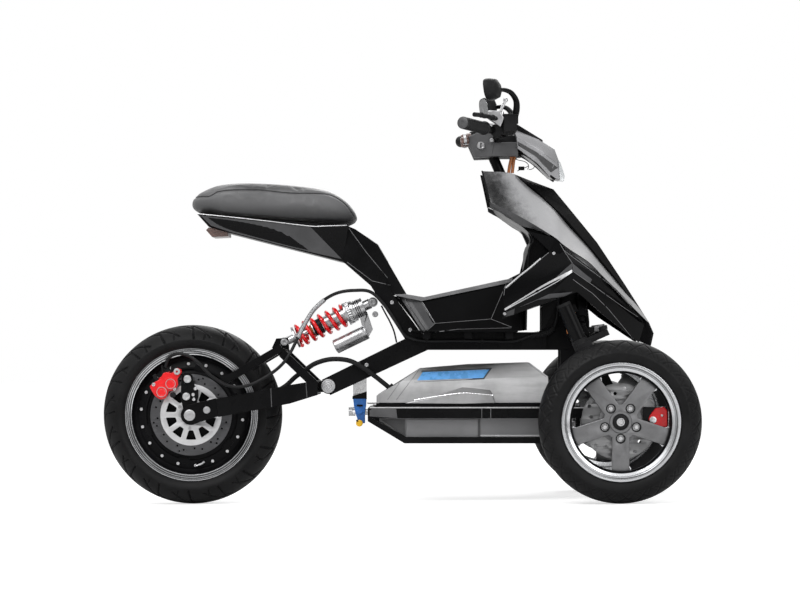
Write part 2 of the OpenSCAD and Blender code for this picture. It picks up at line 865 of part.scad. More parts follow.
leg_face = track / 2 - front_tyre_w / 2 - 7;
module knuckle_right() {
    color([0.15, 0.15, 0.15]) {
        on_axis(-kingpin_y) {
            translate([0, 0, -14]) cylinder(h = upright_low + 14 - seam, r = 22);
            translate([0, 0, -14]) cylinder(h = upright_high + 14 + 6, r = kingpin_r);
            translate([0, 0, upright_high + seam]) cylinder(h = 8, r = 19);
            steering_arm();
        }
        slab([
            [foot.x - 14, -4], [foot.x + 24, 10], [front_axle.x + 26, front_axle.y + 18],
            [front_axle.x + 10, front_axle.y - 26], [front_axle.x - 24, front_axle.y - 10]
        ], -leg_face, -leg_face + 26);
        bar_y(front_axle, -track / 2 + hub_r + 14, -leg_face + 26, 32);
        bar_y(front_axle, -track / 2 - spoke_z - 12, -leg_face + 10, stub_r);
    }
}
module knuckle_left() {
    mirror([0, 1, 0]) knuckle_right();
}

module front_caliper_right() {
    slot = disc_t / 2 + disc_gap;
    color("red") at_wheel(front_axle, -track / 2) difference() {
        intersection() {
            union() {
                translate([62, -16, front_disc_z - 20]) cube([62, 54, 40]);
                translate([20, -14, front_disc_z - slot - 13]) cube([60, 28, 8]);
            }
            cylinder(h = 200, r = barrel_in_r - 6, center = true);
        }
        translate([0, 0, front_disc_z - slot])
            cylinder(h = 2 * slot, r = front_disc_r + disc_gap);
        translate([0, 0, -100]) cylinder(h = 200, r = 32 + seam);
    }
}
module front_caliper_left() {
    mirror([0, 1, 0]) front_caliper_right();
}

spoke_angles = [for (k = [0 : 4]) 270 + 72 * k];
spoke_w = 45;
hub_plate_r = 47;
module front_rim() {
    rotate_extrude() polygon([
        [barrel_in_r, -front_rim_half], [front_flange_r - 3, -front_rim_half - 5],
        [front_flange_r, -front_rim_half], [front_seat_r, -front_rim_half + 2],
        [front_seat_r, front_rim_half - 2], [front_flange_r, front_rim_half],
        [front_flange_r - 3, front_rim_half + 5], [front_flange_r - 16, front_rim_half + 1],
        [barrel_in_r, front_rim_half - 8]
    ]);
}
module front_star() {
    difference() {
        union() {
            translate([0, 0, front_disc_z - 7])
                cylinder(h = spoke_z + spoke_t - front_disc_z + 7, r = hub_r);
            translate([0, 0, spoke_z]) linear_extrude(spoke_t) {
                circle(hub_plate_r);
                for (a = spoke_angles) rotate(a)
                    translate([0, -spoke_w / 2]) square([barrel_in_r + 2, spoke_w]);
            }
        }
        translate([0, 0, -60]) cylinder(h = 60 + spoke_z + 14, r = stub_r + fit_gap);
        for (a = spoke_angles) rotate(a)
            translate([lug_circle_r, 0, spoke_z + spoke_t - 8]) cylinder(h = 20, r = 11.5);
    }
}
module front_wheel() {
    front_rim();
    front_star();
    difference() {
        translate([0, 0, front_disc_z - disc_t / 2]) cylinder(h = disc_t, r = front_disc_r);
        translate([0, 0, -60]) cylinder(h = 100, r = hub_r - 1);
    }
}
module front_wheel_right() {
    color("silver") at_wheel(front_axle, -track / 2) front_wheel();
}
module front_wheel_left() {
    mirror([0, 1, 0]) front_wheel_right();
}

// Half-round tread on straight walls, standing on the rim's seat
module tyre(r, seat_r, flange_r, half_w, rim_half) {
    shoulder_r = r - 0.62 * half_w;
    drop = r - shoulder_r;
    crown_r = (half_w * half_w + drop * drop) / (2 * drop);
    reach = asin(half_w / crown_r);
    crown = [
        for (k = [-6 : 6])
            [r - crown_r + crown_r * cos(k * reach / 6), crown_r * sin(k * reach / 6)]
    ];
    rotate_extrude() polygon([
        [seat_r, rim_half - 3], [seat_r, -rim_half + 3], [flange_r, -rim_half + 1],
        [flange_r + 8, -rim_half - 4],
        each crown,
        [flange_r + 8, rim_half + 4], [flange_r, rim_half - 1]
    ]);
}
module front_tyre_right() {
    color([0.1, 0.1, 0.1]) at_wheel(front_axle, -track / 2)
        tyre(front_r, front_seat_r, front_flange_r, front_tyre_w / 2, front_rim_half);
}
module front_tyre_left() {
    mirror([0, 1, 0]) front_tyre_right();
}

// ---------------------------------------------------------------- rear wheel

module rear_tyre() {
    color([0.1, 0.1, 0.1]) at_wheel(rear_axle, 0)
        tyre(rear_r, rear_seat_r, rear_flange_r, rear_tyre_w / 2, rear_rim_half);
}

module rear_rim() {
    lip = rear_rim_half + 4;
    color("silver") at_wheel(rear_axle, 0) rotate_extrude() polygon([
        [motor_r, -rear_rim_half + 10], [rear_seat_r - 4, -rear_rim_half + 4],
        [rear_flange_r - 18, -lip + 2], [rear_flange_r - 2, -lip], [rear_flange_r, -rear_rim_half],
        [rear_seat_r, -rear_rim_half + 2], [rear_seat_r, rear_rim_half - 2],
        [rear_flange_r, rear_rim_half], [rear_flange_r - 2, lip], [rear_flange_r - 18, lip - 2],
        [rear_seat_r - 4, rear_rim_half - 4], [motor_r, rear_rim_half - 10]
    ]);
}

module hub_motor() {
    color([0.1, 0.1, 0.1]) at_wheel(rear_axle, 0) difference() {
        rotate_extrude() polygon([
            [0, -motor_half], [60, -motor_half], [140, -motor_half + 6], [motor_r, -motor_half + 12],
            [motor_r, motor_half - 12], [140, motor_half - 6], [84, motor_half], [40, motor_half],
            [40, rear_disc_z + disc_t / 2], [0, rear_disc_z + disc_t / 2]
        ]);
        translate([0, 0, -100]) cylinder(h = 200, r = axle_r + fit_gap);
        translate([0, 0, motor_half]) cylinder(h = 60, r = 22);
    }
}

window_count = 10;
module rear_disc() {
    color([0.7, 0.7, 0.7]) at_wheel(rear_axle, 0) difference() {
        translate([0, 0, rear_disc_z - disc_t / 2]) cylinder(h = disc_t, r = rear_disc_r);
        cylinder(h = 200, r = 40);
        for (k = [0 : window_count - 1]) rotate(90 + k * 360 / window_count)
            translate([0, 0, rear_disc_z - disc_t]) linear_extrude(2 * disc_t)
                polygon([[44, -7], [68, -14], [68, 14], [44, 7]]);
    }
}

// ---------------------------------------------------------------- nodes

body_frame() {
    frame_spine();
    seat_mast();
    head_tube();
    front_crossmember();
    swingarm();
    pivot_bolt();
    rear_axle_bolt();
    rear_caliper();
    rear_caliper_bracket();
    rear_brake_hose();
    motor_cable();
    cable_gland();
    shock_body();
    shock_spring();
    shock_reservoir();
    seat_base();
    seat_cushion();
    tail_lamp();
    tunnel_cover();
    footboards();
    inner_leg_shield();
    fairing_right();
    fairing_left();
    fairing_hood();
    apron_right();
    apron_left();
    battery_cover();
    battery_case();
    battery_cradle();
    cradle_hanger();
    lean_lock();
    lean_lock_knob();
    lower_arms();
    upper_arms();
    uprights();
    front_shocks();
    steering_column();
    handlebar();
    grips();
    brake_levers();
    mirrors();
    head_cowl();
    headlamp_lens();
    switch_box();
    indicators();
    tie_rod();
    knuckle_right();
    knuckle_left();
    front_caliper_right();
    front_caliper_left();
    front_wheel_right();
    front_wheel_left();
    front_tyre_right();
    front_tyre_left();
    rear_tyre();
    rear_rim();
    hub_motor();
    rear_disc();
}
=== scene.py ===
# %% [markdown]
# # A leaning three-wheeled electric scooter
# The construction is finished already: every tube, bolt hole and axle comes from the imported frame.
# What is missing is everything that the eye reads as real: tread, spokes, stitching, paint and the
# small hardware. This lesson adds it piece by piece. Lengths are millimetres in the scooter's own
# body frame, because that is how its parts are drawn, and one function turns them into metres.

# %% Load the frame
import json
import math

import bmesh
import bpy
import numpy as np
from mathutils import Matrix, Vector
from mathutils.bvhtree import BVHTree


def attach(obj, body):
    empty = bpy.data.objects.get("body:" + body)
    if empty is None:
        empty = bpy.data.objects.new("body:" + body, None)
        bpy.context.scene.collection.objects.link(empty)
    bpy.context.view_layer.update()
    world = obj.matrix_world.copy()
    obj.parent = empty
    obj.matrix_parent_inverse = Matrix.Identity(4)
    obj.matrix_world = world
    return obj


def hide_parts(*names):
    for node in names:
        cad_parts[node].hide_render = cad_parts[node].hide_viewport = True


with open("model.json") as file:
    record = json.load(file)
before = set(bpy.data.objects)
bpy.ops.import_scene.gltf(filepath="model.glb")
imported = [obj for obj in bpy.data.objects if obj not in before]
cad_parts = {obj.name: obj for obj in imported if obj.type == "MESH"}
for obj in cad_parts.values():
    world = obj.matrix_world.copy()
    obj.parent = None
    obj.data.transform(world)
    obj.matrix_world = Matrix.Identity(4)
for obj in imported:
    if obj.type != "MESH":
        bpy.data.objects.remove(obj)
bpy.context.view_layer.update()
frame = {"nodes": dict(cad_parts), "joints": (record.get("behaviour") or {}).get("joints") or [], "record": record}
joints = {joint["name"]: joint for joint in frame["joints"]}
body_of_node = {node: body for body, nodes in frame["record"]["behaviour"]["bodies"].items()
                for node in nodes}

# %% [markdown]
# The sprung body sits a little nose down, so its drawing is turned by that small angle about the
# crosswise axis and then moved to its place over the ground. Wheel centres come from the joints.

# %% The body's own frame
NOSE_DOWN = math.radians(0.945)
DATUM = np.array([0.1095, 0.0, 0.4233])
COS, SIN = math.cos(NOSE_DOWN), math.sin(NOSE_DOWN)
BODY_TURN = np.array([[COS, 0, SIN], [0, 1, 0], [-SIN, 0, COS]])


def to_metres(points):
    """Row-frame metres: the datum plus the nose-down turn of the point in millimetres."""
    return DATUM + (np.asarray(points, float) / 1000) @ BODY_TURN.T


def to_body(points):
    """Body-frame millimetres of points in metres: the inverse of to_metres."""
    return (np.asarray(points, float) - DATUM) @ BODY_TURN * 1000


REAR_AXLE = to_body(joints["rear_wheel_spin"]["pos_m"])
FRONT_AXLE = to_body(joints["front_right_spin"]["pos_m"])
print("rear axle", REAR_AXLE.round(1), "front axle", FRONT_AXLE.round(1))

# %% [markdown]
# ## Shapes as arrays
# A form is an array of points and a few arrays of faces. Forms are moved, mirrored, repeated and
# added together before any of them becomes a Blender mesh, so a hundred bolts cost one mesh.


# %% Forms
class Form:
    """Points in millimetres with face arrays, one array for each number of corners."""

    def __init__(self, points, faces):
        self.points = np.asarray(points, float).reshape(-1, 3)
        self.faces = [np.asarray(f, int) for f in faces if len(f)]

    def __add__(self, other):
        shift = len(self.points)
        return Form(np.vstack([self.points, other.points]),
                    self.faces + [f + shift for f in other.faces])

    def moved(self, offset=(0, 0, 0), matrix=np.eye(3)):
        """Each point times the matrix, plus the offset."""
        return Form(self.points @ np.asarray(matrix, float).T + np.asarray(offset, float), self.faces)

    def mirrored(self):
        """The left-hand twin: y changes sign and each face runs backwards."""
        return Form(self.points * [1, -1, 1], [f[:, ::-1] for f in self.faces])

    def both(self):
        return self + self.mirrored()

    def on(self, side):
        """The form itself on the right, and its twin on the left."""
        return self if side == "right" else self.mirrored()

    def repeated(self, offsets, matrices=None):
        """A copy for each offset, turned by the matrix of the same index."""
        offsets = np.asarray(offsets, float).reshape(-1, 3)
        count, size = len(offsets), len(self.points)
        if matrices is None:
            matrices = np.broadcast_to(np.eye(3), (count, 3, 3))
        points = np.einsum("nij,pj->npi", matrices, self.points) + offsets[:, None]
        steps = np.arange(count)[:, None, None] * size
        return Form(points, [(f[None] + steps).reshape(-1, f.shape[1]) for f in self.faces])

    def fanned(self, count, start=0.0):
        """Copies at equal angles about z: copy k is turned by the start plus k of the steps."""
        turns = [turn((0, 0, 1), start + 360 / count * k) for k in range(count)]
        return self.repeated(np.zeros((count, 3)), turns)


def total(forms):
    """All the forms of a list as one."""
    result = forms[0]
    for form in forms[1:]:
        result = result + form
    return result


def turn(axis, degrees):
    """Rotation matrix about an axis: cos I + sin K + (1 - cos) k k."""
    x, y, z = np.asarray(axis, float) / np.linalg.norm(axis)
    cross = np.array([[0, -z, y], [z, 0, -x], [-y, x, 0]])
    angle = math.radians(degrees)
    return np.eye(3) + math.sin(angle) * cross + (1 - math.cos(angle)) * cross @ cross


def standing(direction, hint=(0, 1, 0)):
    """Matrix whose z column is the direction and whose y column lies as near as can be to the hint."""
    z = np.asarray(direction, float) / np.linalg.norm(direction)
    x = np.cross(hint, z)
    if np.linalg.norm(x) < 1e-6:
        x = np.cross((1, 0, 0.1), z)
    x = x / np.linalg.norm(x)
    return np.column_stack([x, np.cross(z, x), z])


OUT_RIGHT = np.array([[1.0, 0, 0], [0, 0, -1], [0, 1, 0]])

# %% [markdown]
# Most pieces are one of three surfaces: a grid of points that wraps round in one or both
# directions, a profile that is turned about an axis, or an outline that is given a thickness.


# %% Surfaces
def grid_form(grid, wrap_rows=False, wrap_cols=False, caps=False):
    """Faces between the neighbours of a (rows, cols, 3) grid; caps close the first and last row."""
    rows, cols = grid.shape[:2]
    index = np.arange(rows * cols).reshape(rows, cols)
    if wrap_rows:
        index = np.vstack([index, index[:1]])
    if wrap_cols:
        index = np.hstack([index, index[:, :1]])
    quads = np.stack([index[:-1, :-1], index[:-1, 1:], index[1:, 1:], index[1:, :-1]], -1)
    faces = [quads.reshape(-1, 4)]
    if caps:
        ring = np.arange(cols)
        faces += [ring[None, ::-1], ring[None] + (rows - 1) * cols]
    return Form(grid.reshape(-1, 3), faces)


def lathe(profile, steps=48):
    """(radius, height) points turned about z: x = r cos a, y = r sin a. Heights run upward outside."""
    profile = np.asarray(profile, float)
    angle = np.linspace(0, 2 * np.pi, steps, endpoint=False)
    r, z = profile[:, 0][:, None], profile[:, 1][:, None]
    grid = np.stack([r * np.cos(angle), r * np.sin(angle), z + 0 * angle], -1)
    return grid_form(grid, wrap_cols=True, wrap_rows=True)


POLE = 0.01  # a solid profile stops this close to its axis


def spindle(profile, steps=48):
    """A turned solid: the profile is closed straight in to the axis at both ends."""
    return lathe([(POLE, profile[0][1]), *profile, (POLE, profile[-1][1])], steps)


def puck(radius, low, high, steps=32):
    """A plain turned disc between two heights."""
    return spindle([(radius, low), (radius, high)], steps)


def collar(inner, outer, low, high, steps=40):
    """A plain turned ring between two radii and two heights."""
    return lathe([(inner, low), (outer, low), (outer, high), (inner, high)], steps)


def smooth_path(points, steps=6):
    """Catmull-Rom curve through every point of a list."""
    p = np.asarray(points, float)
    p = np.vstack([p[:1], p, p[-1:]])
    t = np.arange(steps)[:, None, None] / steps
    a, b, c, d = p[:-3], p[1:-2], p[2:-1], p[3:]
    curve = 0.5 * (2 * b + (c - a) * t + (2 * a - 5 * b + 4 * c - d) * t ** 2
                   + (3 * b - 3 * c + d - a) * t ** 3)
    return np.vstack([curve.transpose(1, 0, 2).reshape(-1, p.shape[1]), p[-1:]])


def tube(path, radius, sides=12, caps=True):
    """A ring of points round each point of a path, carried along without twist."""
    path = np.asarray(path, float)
    heading = np.gradient(path, axis=0)
    heading /= np.linalg.norm(heading, axis=1)[:, None]
    side = np.cross(heading[0], (0, 1, 0) if abs(heading[0][1]) < 0.9 else (1, 0, 0))
    sides_of = [side / np.linalg.norm(side)]
    for h in heading[1:]:
        s = sides_of[-1] - h * (sides_of[-1] @ h)
        sides_of.append(s / np.linalg.norm(s))
    side = np.array(sides_of)
    up = np.cross(heading, side)
    angle = np.linspace(0, 2 * np.pi, sides, endpoint=False)
    radius = np.broadcast_to(np.asarray(radius, float), (len(path),))[:, None, None]
    ring = np.cos(angle)[None, :, None] * side[:, None] + np.sin(angle)[None, :, None] * up[:, None]
    return grid_form(path[:, None] + radius * ring, wrap_cols=True, caps=caps)


def prism(outline, low, high):
    """An outline in x and y with a flat floor and roof. It runs anticlockwise."""
    outline = np.asarray(outline, float)
    x, y = outline.T
    if np.sum(x * np.roll(y, -1) - y * np.roll(x, -1)) < 0:
        outline = outline[::-1]
    floor = np.column_stack([outline, np.full(len(outline), low)])
    roof = np.column_stack([outline, np.full(len(outline), high)])
    return grid_form(np.stack([floor, roof]), wrap_cols=True, caps=True)


def slab(outline, y0, y1):
    """An outline in x and z that is solid from y0 to y1."""
    return prism(outline, -y1, -y0).moved(matrix=OUT_RIGHT)


def block(low, high):
    """A box between two corners."""
    (x0, y0, z0), (x1, y1, z1) = low, high
    return prism([(x0, y0), (x1, y0), (x1, y1), (x0, y1)], z0, z1)


def rod(start, end, radius, sides=24):
    """A straight round bar."""
    start, end = np.asarray(start, float), np.asarray(end, float)
    length = np.linalg.norm(end - start)
    return puck(radius, 0, length, sides).moved(start, standing(end - start))


print("surfaces ready")

# %% [markdown]
# A form becomes a piece when it gets a mesh, a body to ride on and a finish. Edges sharper than a
# limit stay crisp, and the rest are smooth. Most real edges are slightly broken, so a small bevel
# catches the light on them.


# %% Pieces
MERGE_DISTANCE = 2e-6  # metres
FLAT_ANGLE = math.radians(0.6)


def in_scene(name, data):
    """A new object with this data, linked into the scene."""
    thing = bpy.data.objects.new(name, data)
    bpy.context.scene.collection.objects.link(thing)
    return thing


def vertex_values(mesh, what="co"):
    """One vertex property of a mesh as an array with a row for each vertex."""
    values = np.empty(len(mesh.vertices) * 3, np.float32)
    mesh.vertices.foreach_get(what, values)
    return values.reshape(-1, 3)


def mesh_from(name, form):
    """A mesh from a form, filled with whole arrays."""
    mesh = bpy.data.meshes.new(name)
    points = to_metres(form.points)
    sizes = np.concatenate([np.full(len(f), f.shape[1]) for f in form.faces])
    corners = np.concatenate([f.ravel() for f in form.faces])
    mesh.vertices.add(len(points))
    mesh.vertices.foreach_set("co", points.astype(np.float32).ravel())
    mesh.loops.add(len(corners))
    mesh.loops.foreach_set("vertex_index", corners.astype(np.int32))
    mesh.polygons.add(len(sizes))
    mesh.polygons.foreach_set("loop_start", (np.cumsum(sizes) - sizes).astype(np.int32))
    mesh.update(calc_edges=True)
    mesh.validate()
    return mesh


def tidy_mesh(mesh, merge=True, outward=False, flat_angle=0.0):
    """Merges doubled points, joins faces that lie flat together, and turns faces outward."""
    work = bmesh.new()
    work.from_mesh(mesh)
    if merge:
        bmesh.ops.remove_doubles(work, verts=work.verts, dist=MERGE_DISTANCE)
        bmesh.ops.dissolve_degenerate(work, edges=work.edges, dist=MERGE_DISTANCE / 2)
    if flat_angle:
        bmesh.ops.dissolve_limit(work, angle_limit=flat_angle, verts=work.verts, edges=work.edges)
    if outward:
        bmesh.ops.recalc_face_normals(work, faces=work.faces)
    work.to_mesh(mesh)
    work.free()


def finish_edges(thing, bevel, angle):
    """Smooth shading up to an angle, with a small live bevel on the sharper edges."""
    mesh = thing.data
    mesh.polygons.foreach_set("use_smooth", np.ones(len(mesh.polygons), bool))
    mesh.set_sharp_from_angle(angle=math.radians(angle))
    if bevel:
        rounding = thing.modifiers.new("edges", "BEVEL")
        rounding.width = bevel / 1000
        rounding.segments = 2
        rounding.limit_method = "ANGLE"
        rounding.angle_limit = math.radians(angle)
        rounding.harden_normals = True
        rounding.use_clamp_overlap = True


def finished(name, mesh, body, finish, replaces, bevel, angle):
    """An object at the origin with its finish, edges, body and the nodes that it stands for."""
    mesh.materials.clear()
    mesh.materials.append(finish)
    thing = in_scene(name, mesh)
    finish_edges(thing, bevel, angle)
    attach(thing, body)
    if replaces:
        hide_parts(*replaces)


def piece(name, form, body, slot, finish, replaces=(), bevel=0.0, angle=35, merge=True):
    """A finished piece made from a form in millimetres."""
    mesh = mesh_from(name, form)
    tidy_mesh(mesh, merge=merge, outward=merge)
    finished(name, mesh, body, finish, replaces, bevel, angle)


def refined(node, finish, bevel):
    """A copy of a CAD node, merged and with its edges broken, which stands for the node."""
    mesh = frame["nodes"][node].data.copy()
    mesh.name = node + "_skin"
    tidy_mesh(mesh, flat_angle=FLAT_ANGLE)
    finished(node + "_skin", mesh, body_of_node[node], finish, [node], bevel, angle=30)


print("pieces ready")

# %% [markdown]
# ## Finishes
# A material is written as arithmetic. A wire is one output of a node, and adding or multiplying
# wires adds the Math nodes. Everything that varies over a surface is worked out from Object
# coordinates, and it only reaches the sockets that can be baked later.


# %% Shader arithmetic
class Wire:
    """One output socket, on which + - * and the functions below add Math nodes."""

    def __init__(self, finish, socket):
        self.finish, self.socket = finish, socket

    def op(self, operation, first, second=0.0):
        return self.finish.node("ShaderNodeMath", {"operation": operation}, {0: first, 1: second})

    def __add__(self, other):
        return self.op("ADD", self, other)

    def __radd__(self, other):
        return self.op("ADD", other, self)

    def __sub__(self, other):
        return self.op("SUBTRACT", self, other)

    def __rsub__(self, other):
        return self.op("SUBTRACT", other, self)

    def __mul__(self, other):
        return self.op("MULTIPLY", self, other)

    def __rmul__(self, other):
        return self.op("MULTIPLY", other, self)

    def sine(self):
        return self.op("SINE", self)

    def root(self):
        return self.op("SQRT", self)

    def most(self, other):
        return self.op("MAXIMUM", self, other)

    def step(self, low, high, a=0.0, b=1.0):
        """Goes smoothly from a to b while the wire goes from low to high."""
        return self.finish.node("ShaderNodeMapRange", {"interpolation_type": "SMOOTHSTEP"},
                                {0: self, 1: low, 2: high, 3: a, 4: b})


class Finish:
    """A material with its Principled shader, and short ways to add what it needs."""

    def __init__(self, name, color, roughness=0.5, metallic=0.0, **fixed):
        self.material = bpy.data.materials.new(name)
        self.material.use_nodes = True
        self.tree = self.material.node_tree
        self.shader = self.tree.nodes["Principled BSDF"]
        self.shader.inputs["Base Color"].default_value = (*color, 1)
        self.shader.inputs["Roughness"].default_value = roughness
        self.shader.inputs["Metallic"].default_value = metallic
        for socket, value in fixed.items():
            self.shader.inputs[socket.replace("_", " ")].default_value = value
        self.where = self.node("ShaderNodeTexCoord", output="Object")

    def node(self, kind, settings=None, inputs=None, output=0):
        """Adds a node: its settings first, then values or wires for its sockets."""
        made = self.tree.nodes.new(kind)
        for key, value in (settings or {}).items():
            setattr(made, key, value)
        for key, value in (inputs or {}).items():
            if isinstance(value, Wire):
                self.tree.links.new(value.socket, made.inputs[key])
            else:
                made.inputs[key].default_value = value
        return Wire(self, made.outputs[output])

    def set(self, socket, wire):
        self.tree.links.new(wire.socket, self.shader.inputs[socket])
        return self

    def scaled(self, stretch):
        """Object coordinates times a stretch for each axis."""
        return self.node("ShaderNodeVectorMath", {"operation": "MULTIPLY"},
                         {0: self.where, 1: stretch})

    def noise(self, scale, detail=3.0, rough=0.5, stretch=(1, 1, 1)):
        return self.node("ShaderNodeTexNoise", {}, {"Vector": self.scaled(stretch), "Scale": scale,
                                                   "Detail": detail, "Roughness": rough})

    def cells(self, scale, feature="F1"):
        return self.node("ShaderNodeTexVoronoi", {"feature": feature},
                         {"Vector": self.where, "Scale": scale})

    def axis(self, name):
        """One of the three object coordinates, in metres."""
        return self.node("ShaderNodeSeparateXYZ", {}, {0: self.where}, output=name)

    def radius(self, centre):
        """Distance from a crosswise axis through a point: the root of dx squared plus dz squared."""
        dx, dz = self.axis("X") - float(centre[0]), self.axis("Z") - float(centre[2])
        return (dx * dx + dz * dz).root()

    def mix(self, factor, first, second):
        """A colour between two colours or wires."""
        values = {0: factor}
        for index, value in ((6, first), (7, second)):
            values[index] = value if isinstance(value, Wire) else (*value, 1)
        return self.node("ShaderNodeMix", {"data_type": "RGBA"}, values, output=2)

    def bump(self, height, depth_mm, strength=1.0):
        """Bumps of a depth in millimetres."""
        made = self.node("ShaderNodeBump", {}, {"Height": height, "Strength": strength,
                                                "Distance": depth_mm / 1000})
        return self.set("Normal", made)


def shades(color, factor):
    return tuple(c * factor for c in color)


print("shader arithmetic ready")

# %% [markdown]
# Black paint is never flat black: powder coat has a fine orange peel, and a wiped panel is a little
# cloudy. Both are slow noise in the roughness and quick noise in the bump.


# %% Painted and moulded finishes
def clouded(name, color, low, high, scale=9.0, peel=260.0, peel_mm=0.05, lift=1.6, **fixed):
    """Paint whose roughness drifts from low to high and whose colour lifts a little with it."""
    coat = Finish(name, color, low, **fixed)
    cloud = coat.noise(scale, 4.0, 0.6)
    coat.set("Roughness", cloud.step(0.35, 0.7, low, high))
    coat.set("Base Color", coat.mix(cloud.step(0.3, 0.75), color, shades(color, lift)))
    coat.bump(coat.noise(peel, 2.0, 0.5), peel_mm)
    return coat


FRAME_PAINT = clouded("frame_paint", (0.0035, 0.0035, 0.0038), 0.22, 0.36, Coat_Weight=0.03,
                      Coat_Roughness=0.08, Specular_IOR_Level=0.09).material
GLOSS_BLACK = clouded("gloss_black", (0.0025, 0.0025, 0.0028), 0.16, 0.3, 5.0, 180.0, 0.03,
                      Coat_Weight=0.05, Coat_Roughness=0.05, Specular_IOR_Level=0.1).material
SATIN_PLASTIC = clouded("satin_plastic", (0.009, 0.009, 0.0095), 0.42, 0.58, 14.0, 700.0, 0.06,
                        Specular_IOR_Level=0.14).material
DARK_GREY = clouded("dark_grey_plastic", (0.055, 0.055, 0.057), 0.4, 0.55, 14.0, 700.0, 0.05).material
MOTOR_BLACK = clouded("motor_black", (0.004, 0.004, 0.0045), 0.34, 0.5, 18.0, 520.0, 0.1,
                      Specular_IOR_Level=0.1).material
HOSE_RUBBER = clouded("hose_rubber", (0.008, 0.008, 0.0085), 0.38, 0.5, 20.0, 900.0, 0.04,
                      Specular_IOR_Level=0.2).material
HOOD_BLACK = clouded("hood_black", (0.004, 0.004, 0.0042), 0.5, 0.62, 12.0, 500.0, 0.04,
                     Specular_IOR_Level=0.02).material
RED_COAT = clouded("red_coat", (0.78, 0.004, 0.008), 0.16, 0.26, 12.0, 300.0, 0.03, 1.15,
                   Coat_Weight=0.6, Coat_Roughness=0.06).material
BLUE_COAT = clouded("blue_coat", (0.016, 0.1, 0.33), 0.3, 0.42, 30.0, 300.0, 0.04).material
YELLOW_CAP = clouded("yellow_cap", (0.95, 0.55, 0.02), 0.3, 0.4, 30.0, 300.0, 0.04, 1.05).material
print("paints", len(bpy.data.materials))

# %% [markdown]
# Bare metal is told apart by how it was made. A turned rim has fine rings about its axle, a rolled
# sheet is brushed one way and smudged by hands, and a zinc bolt is evenly soft.


# %% Metals
def turned(name, centre, color=(0.62, 0.63, 0.65), rough=0.2, ring_mm=1.1, depth=0.02,
           painted_shade_bands=()):
    """Metal cut on a lathe: a sine of the radius makes the rings, and a slow noise dulls it."""
    metal = Finish(name, color, rough, 1.0)
    radius = metal.radius(to_metres(centre))
    rings = (radius * (2000 * math.pi / ring_mm)).sine()
    smudge = metal.noise(16.0, 4.0, 0.6)
    metal.set("Roughness", smudge.step(0.35, 0.7, rough, rough + 0.16) + rings * 0.03)
    tint = metal.mix(smudge.step(0.3, 0.8), color, shades(color, 0.8))
    # Painted shade: rings of darkened base colour between the bright turned lines.
    for low, high in painted_shade_bands:
        inside = radius.step(low / 1000 - 0.0008, low / 1000) \
            * radius.step(high / 1000, high / 1000 + 0.0008, 1.0, 0.0)
        tint = metal.mix(inside, tint, shades(color, 0.22))
    metal.set("Base Color", tint)
    metal.bump(rings, depth)
    return metal.material


def brushed(name, color, rough, stretch, streak_mm=0.03, dark=0.75, grime=0.0):
    """Sheet metal: noise drawn out along one axis makes the streaks, a broad noise the smudges."""
    metal = Finish(name, color, rough, 1.0)
    streak = metal.noise(60.0, 3.0, 0.6, stretch)
    smudge = metal.noise(7.0, 5.0, 0.62)
    metal.set("Roughness", streak.step(0.3, 0.7, rough, rough + 0.14) + smudge * 0.12)
    tint = metal.mix(smudge.step(0.38, 0.68), color, shades(color, dark))
    metal.set("Base Color", metal.mix(streak.step(0.45, 0.75, 0.0, 0.35), tint,
                                      shades(color, dark * (1 - grime))))
    metal.bump(streak, streak_mm)
    return metal.material


# The dark bands of both rims are painted shade between the bright lines of each lip.
REAR_RIM_METAL = turned("rear_rim_metal", REAR_AXLE, (0.85, 0.86, 0.88), 0.16, 1.4, 0.008,
                        [(164.5, 168.5), (170.5, 173.5), (175.5, 177.5)])
FRONT_RIM_METAL = turned("front_rim_metal", FRONT_AXLE, (0.75, 0.76, 0.78), 0.18, 1.2, 0.01,
                         [(143.5, 146.5)])
DISC_STEEL = turned("disc_steel", REAR_AXLE, (0.12, 0.12, 0.125), 0.3, 0.9, 0.02)
FRONT_DISC_STEEL = turned("front_disc_steel", FRONT_AXLE, (0.36, 0.36, 0.365), 0.3, 0.9, 0.02)
CARRIER_METAL = turned("carrier_metal", REAR_AXLE, (0.78, 0.78, 0.79), 0.34, 1.2, 0.01)
COVER_METAL = brushed("cover_metal", (0.5, 0.5, 0.505), 0.36, (0.12, 1, 1), 0.02, 0.7, 0.1)
SPOKE_METAL = brushed("spoke_metal", (0.24, 0.24, 0.245), 0.3, (1, 1, 1), 0.02, 0.72)
SHOCK_METAL = brushed("shock_metal", (0.6, 0.6, 0.61), 0.24, (1, 1, 1), 0.01, 0.7)
STEEL = brushed("zinc_steel", (0.6, 0.6, 0.61), 0.28, (1, 1, 1), 0.02, 0.8)
BRIGHT_STEEL = brushed("bright_steel", (0.82, 0.82, 0.83), 0.16, (1, 1, 1), 0.01, 0.9)
CASE_GREY = clouded("case_grey_paint", (0.21, 0.21, 0.215), 0.36, 0.5, 8.0, 500.0, 0.05, 1.25,
                    Metallic=0.55).material
COPPER_PIPE = clouded("copper_pipe", (0.42, 0.15, 0.05), 0.3, 0.42, 30.0, 400.0, 0.03, 1.3).material

# %% [markdown]
# Rubber is the darkest thing on the scooter, and it still needs two scales: a fine grit that kills
# the shine, and a dusty bloom on the sidewall. Leatherette is a web of small cells, so its bump is
# the distance to the edges of a cell pattern, with a soft sheen on top.


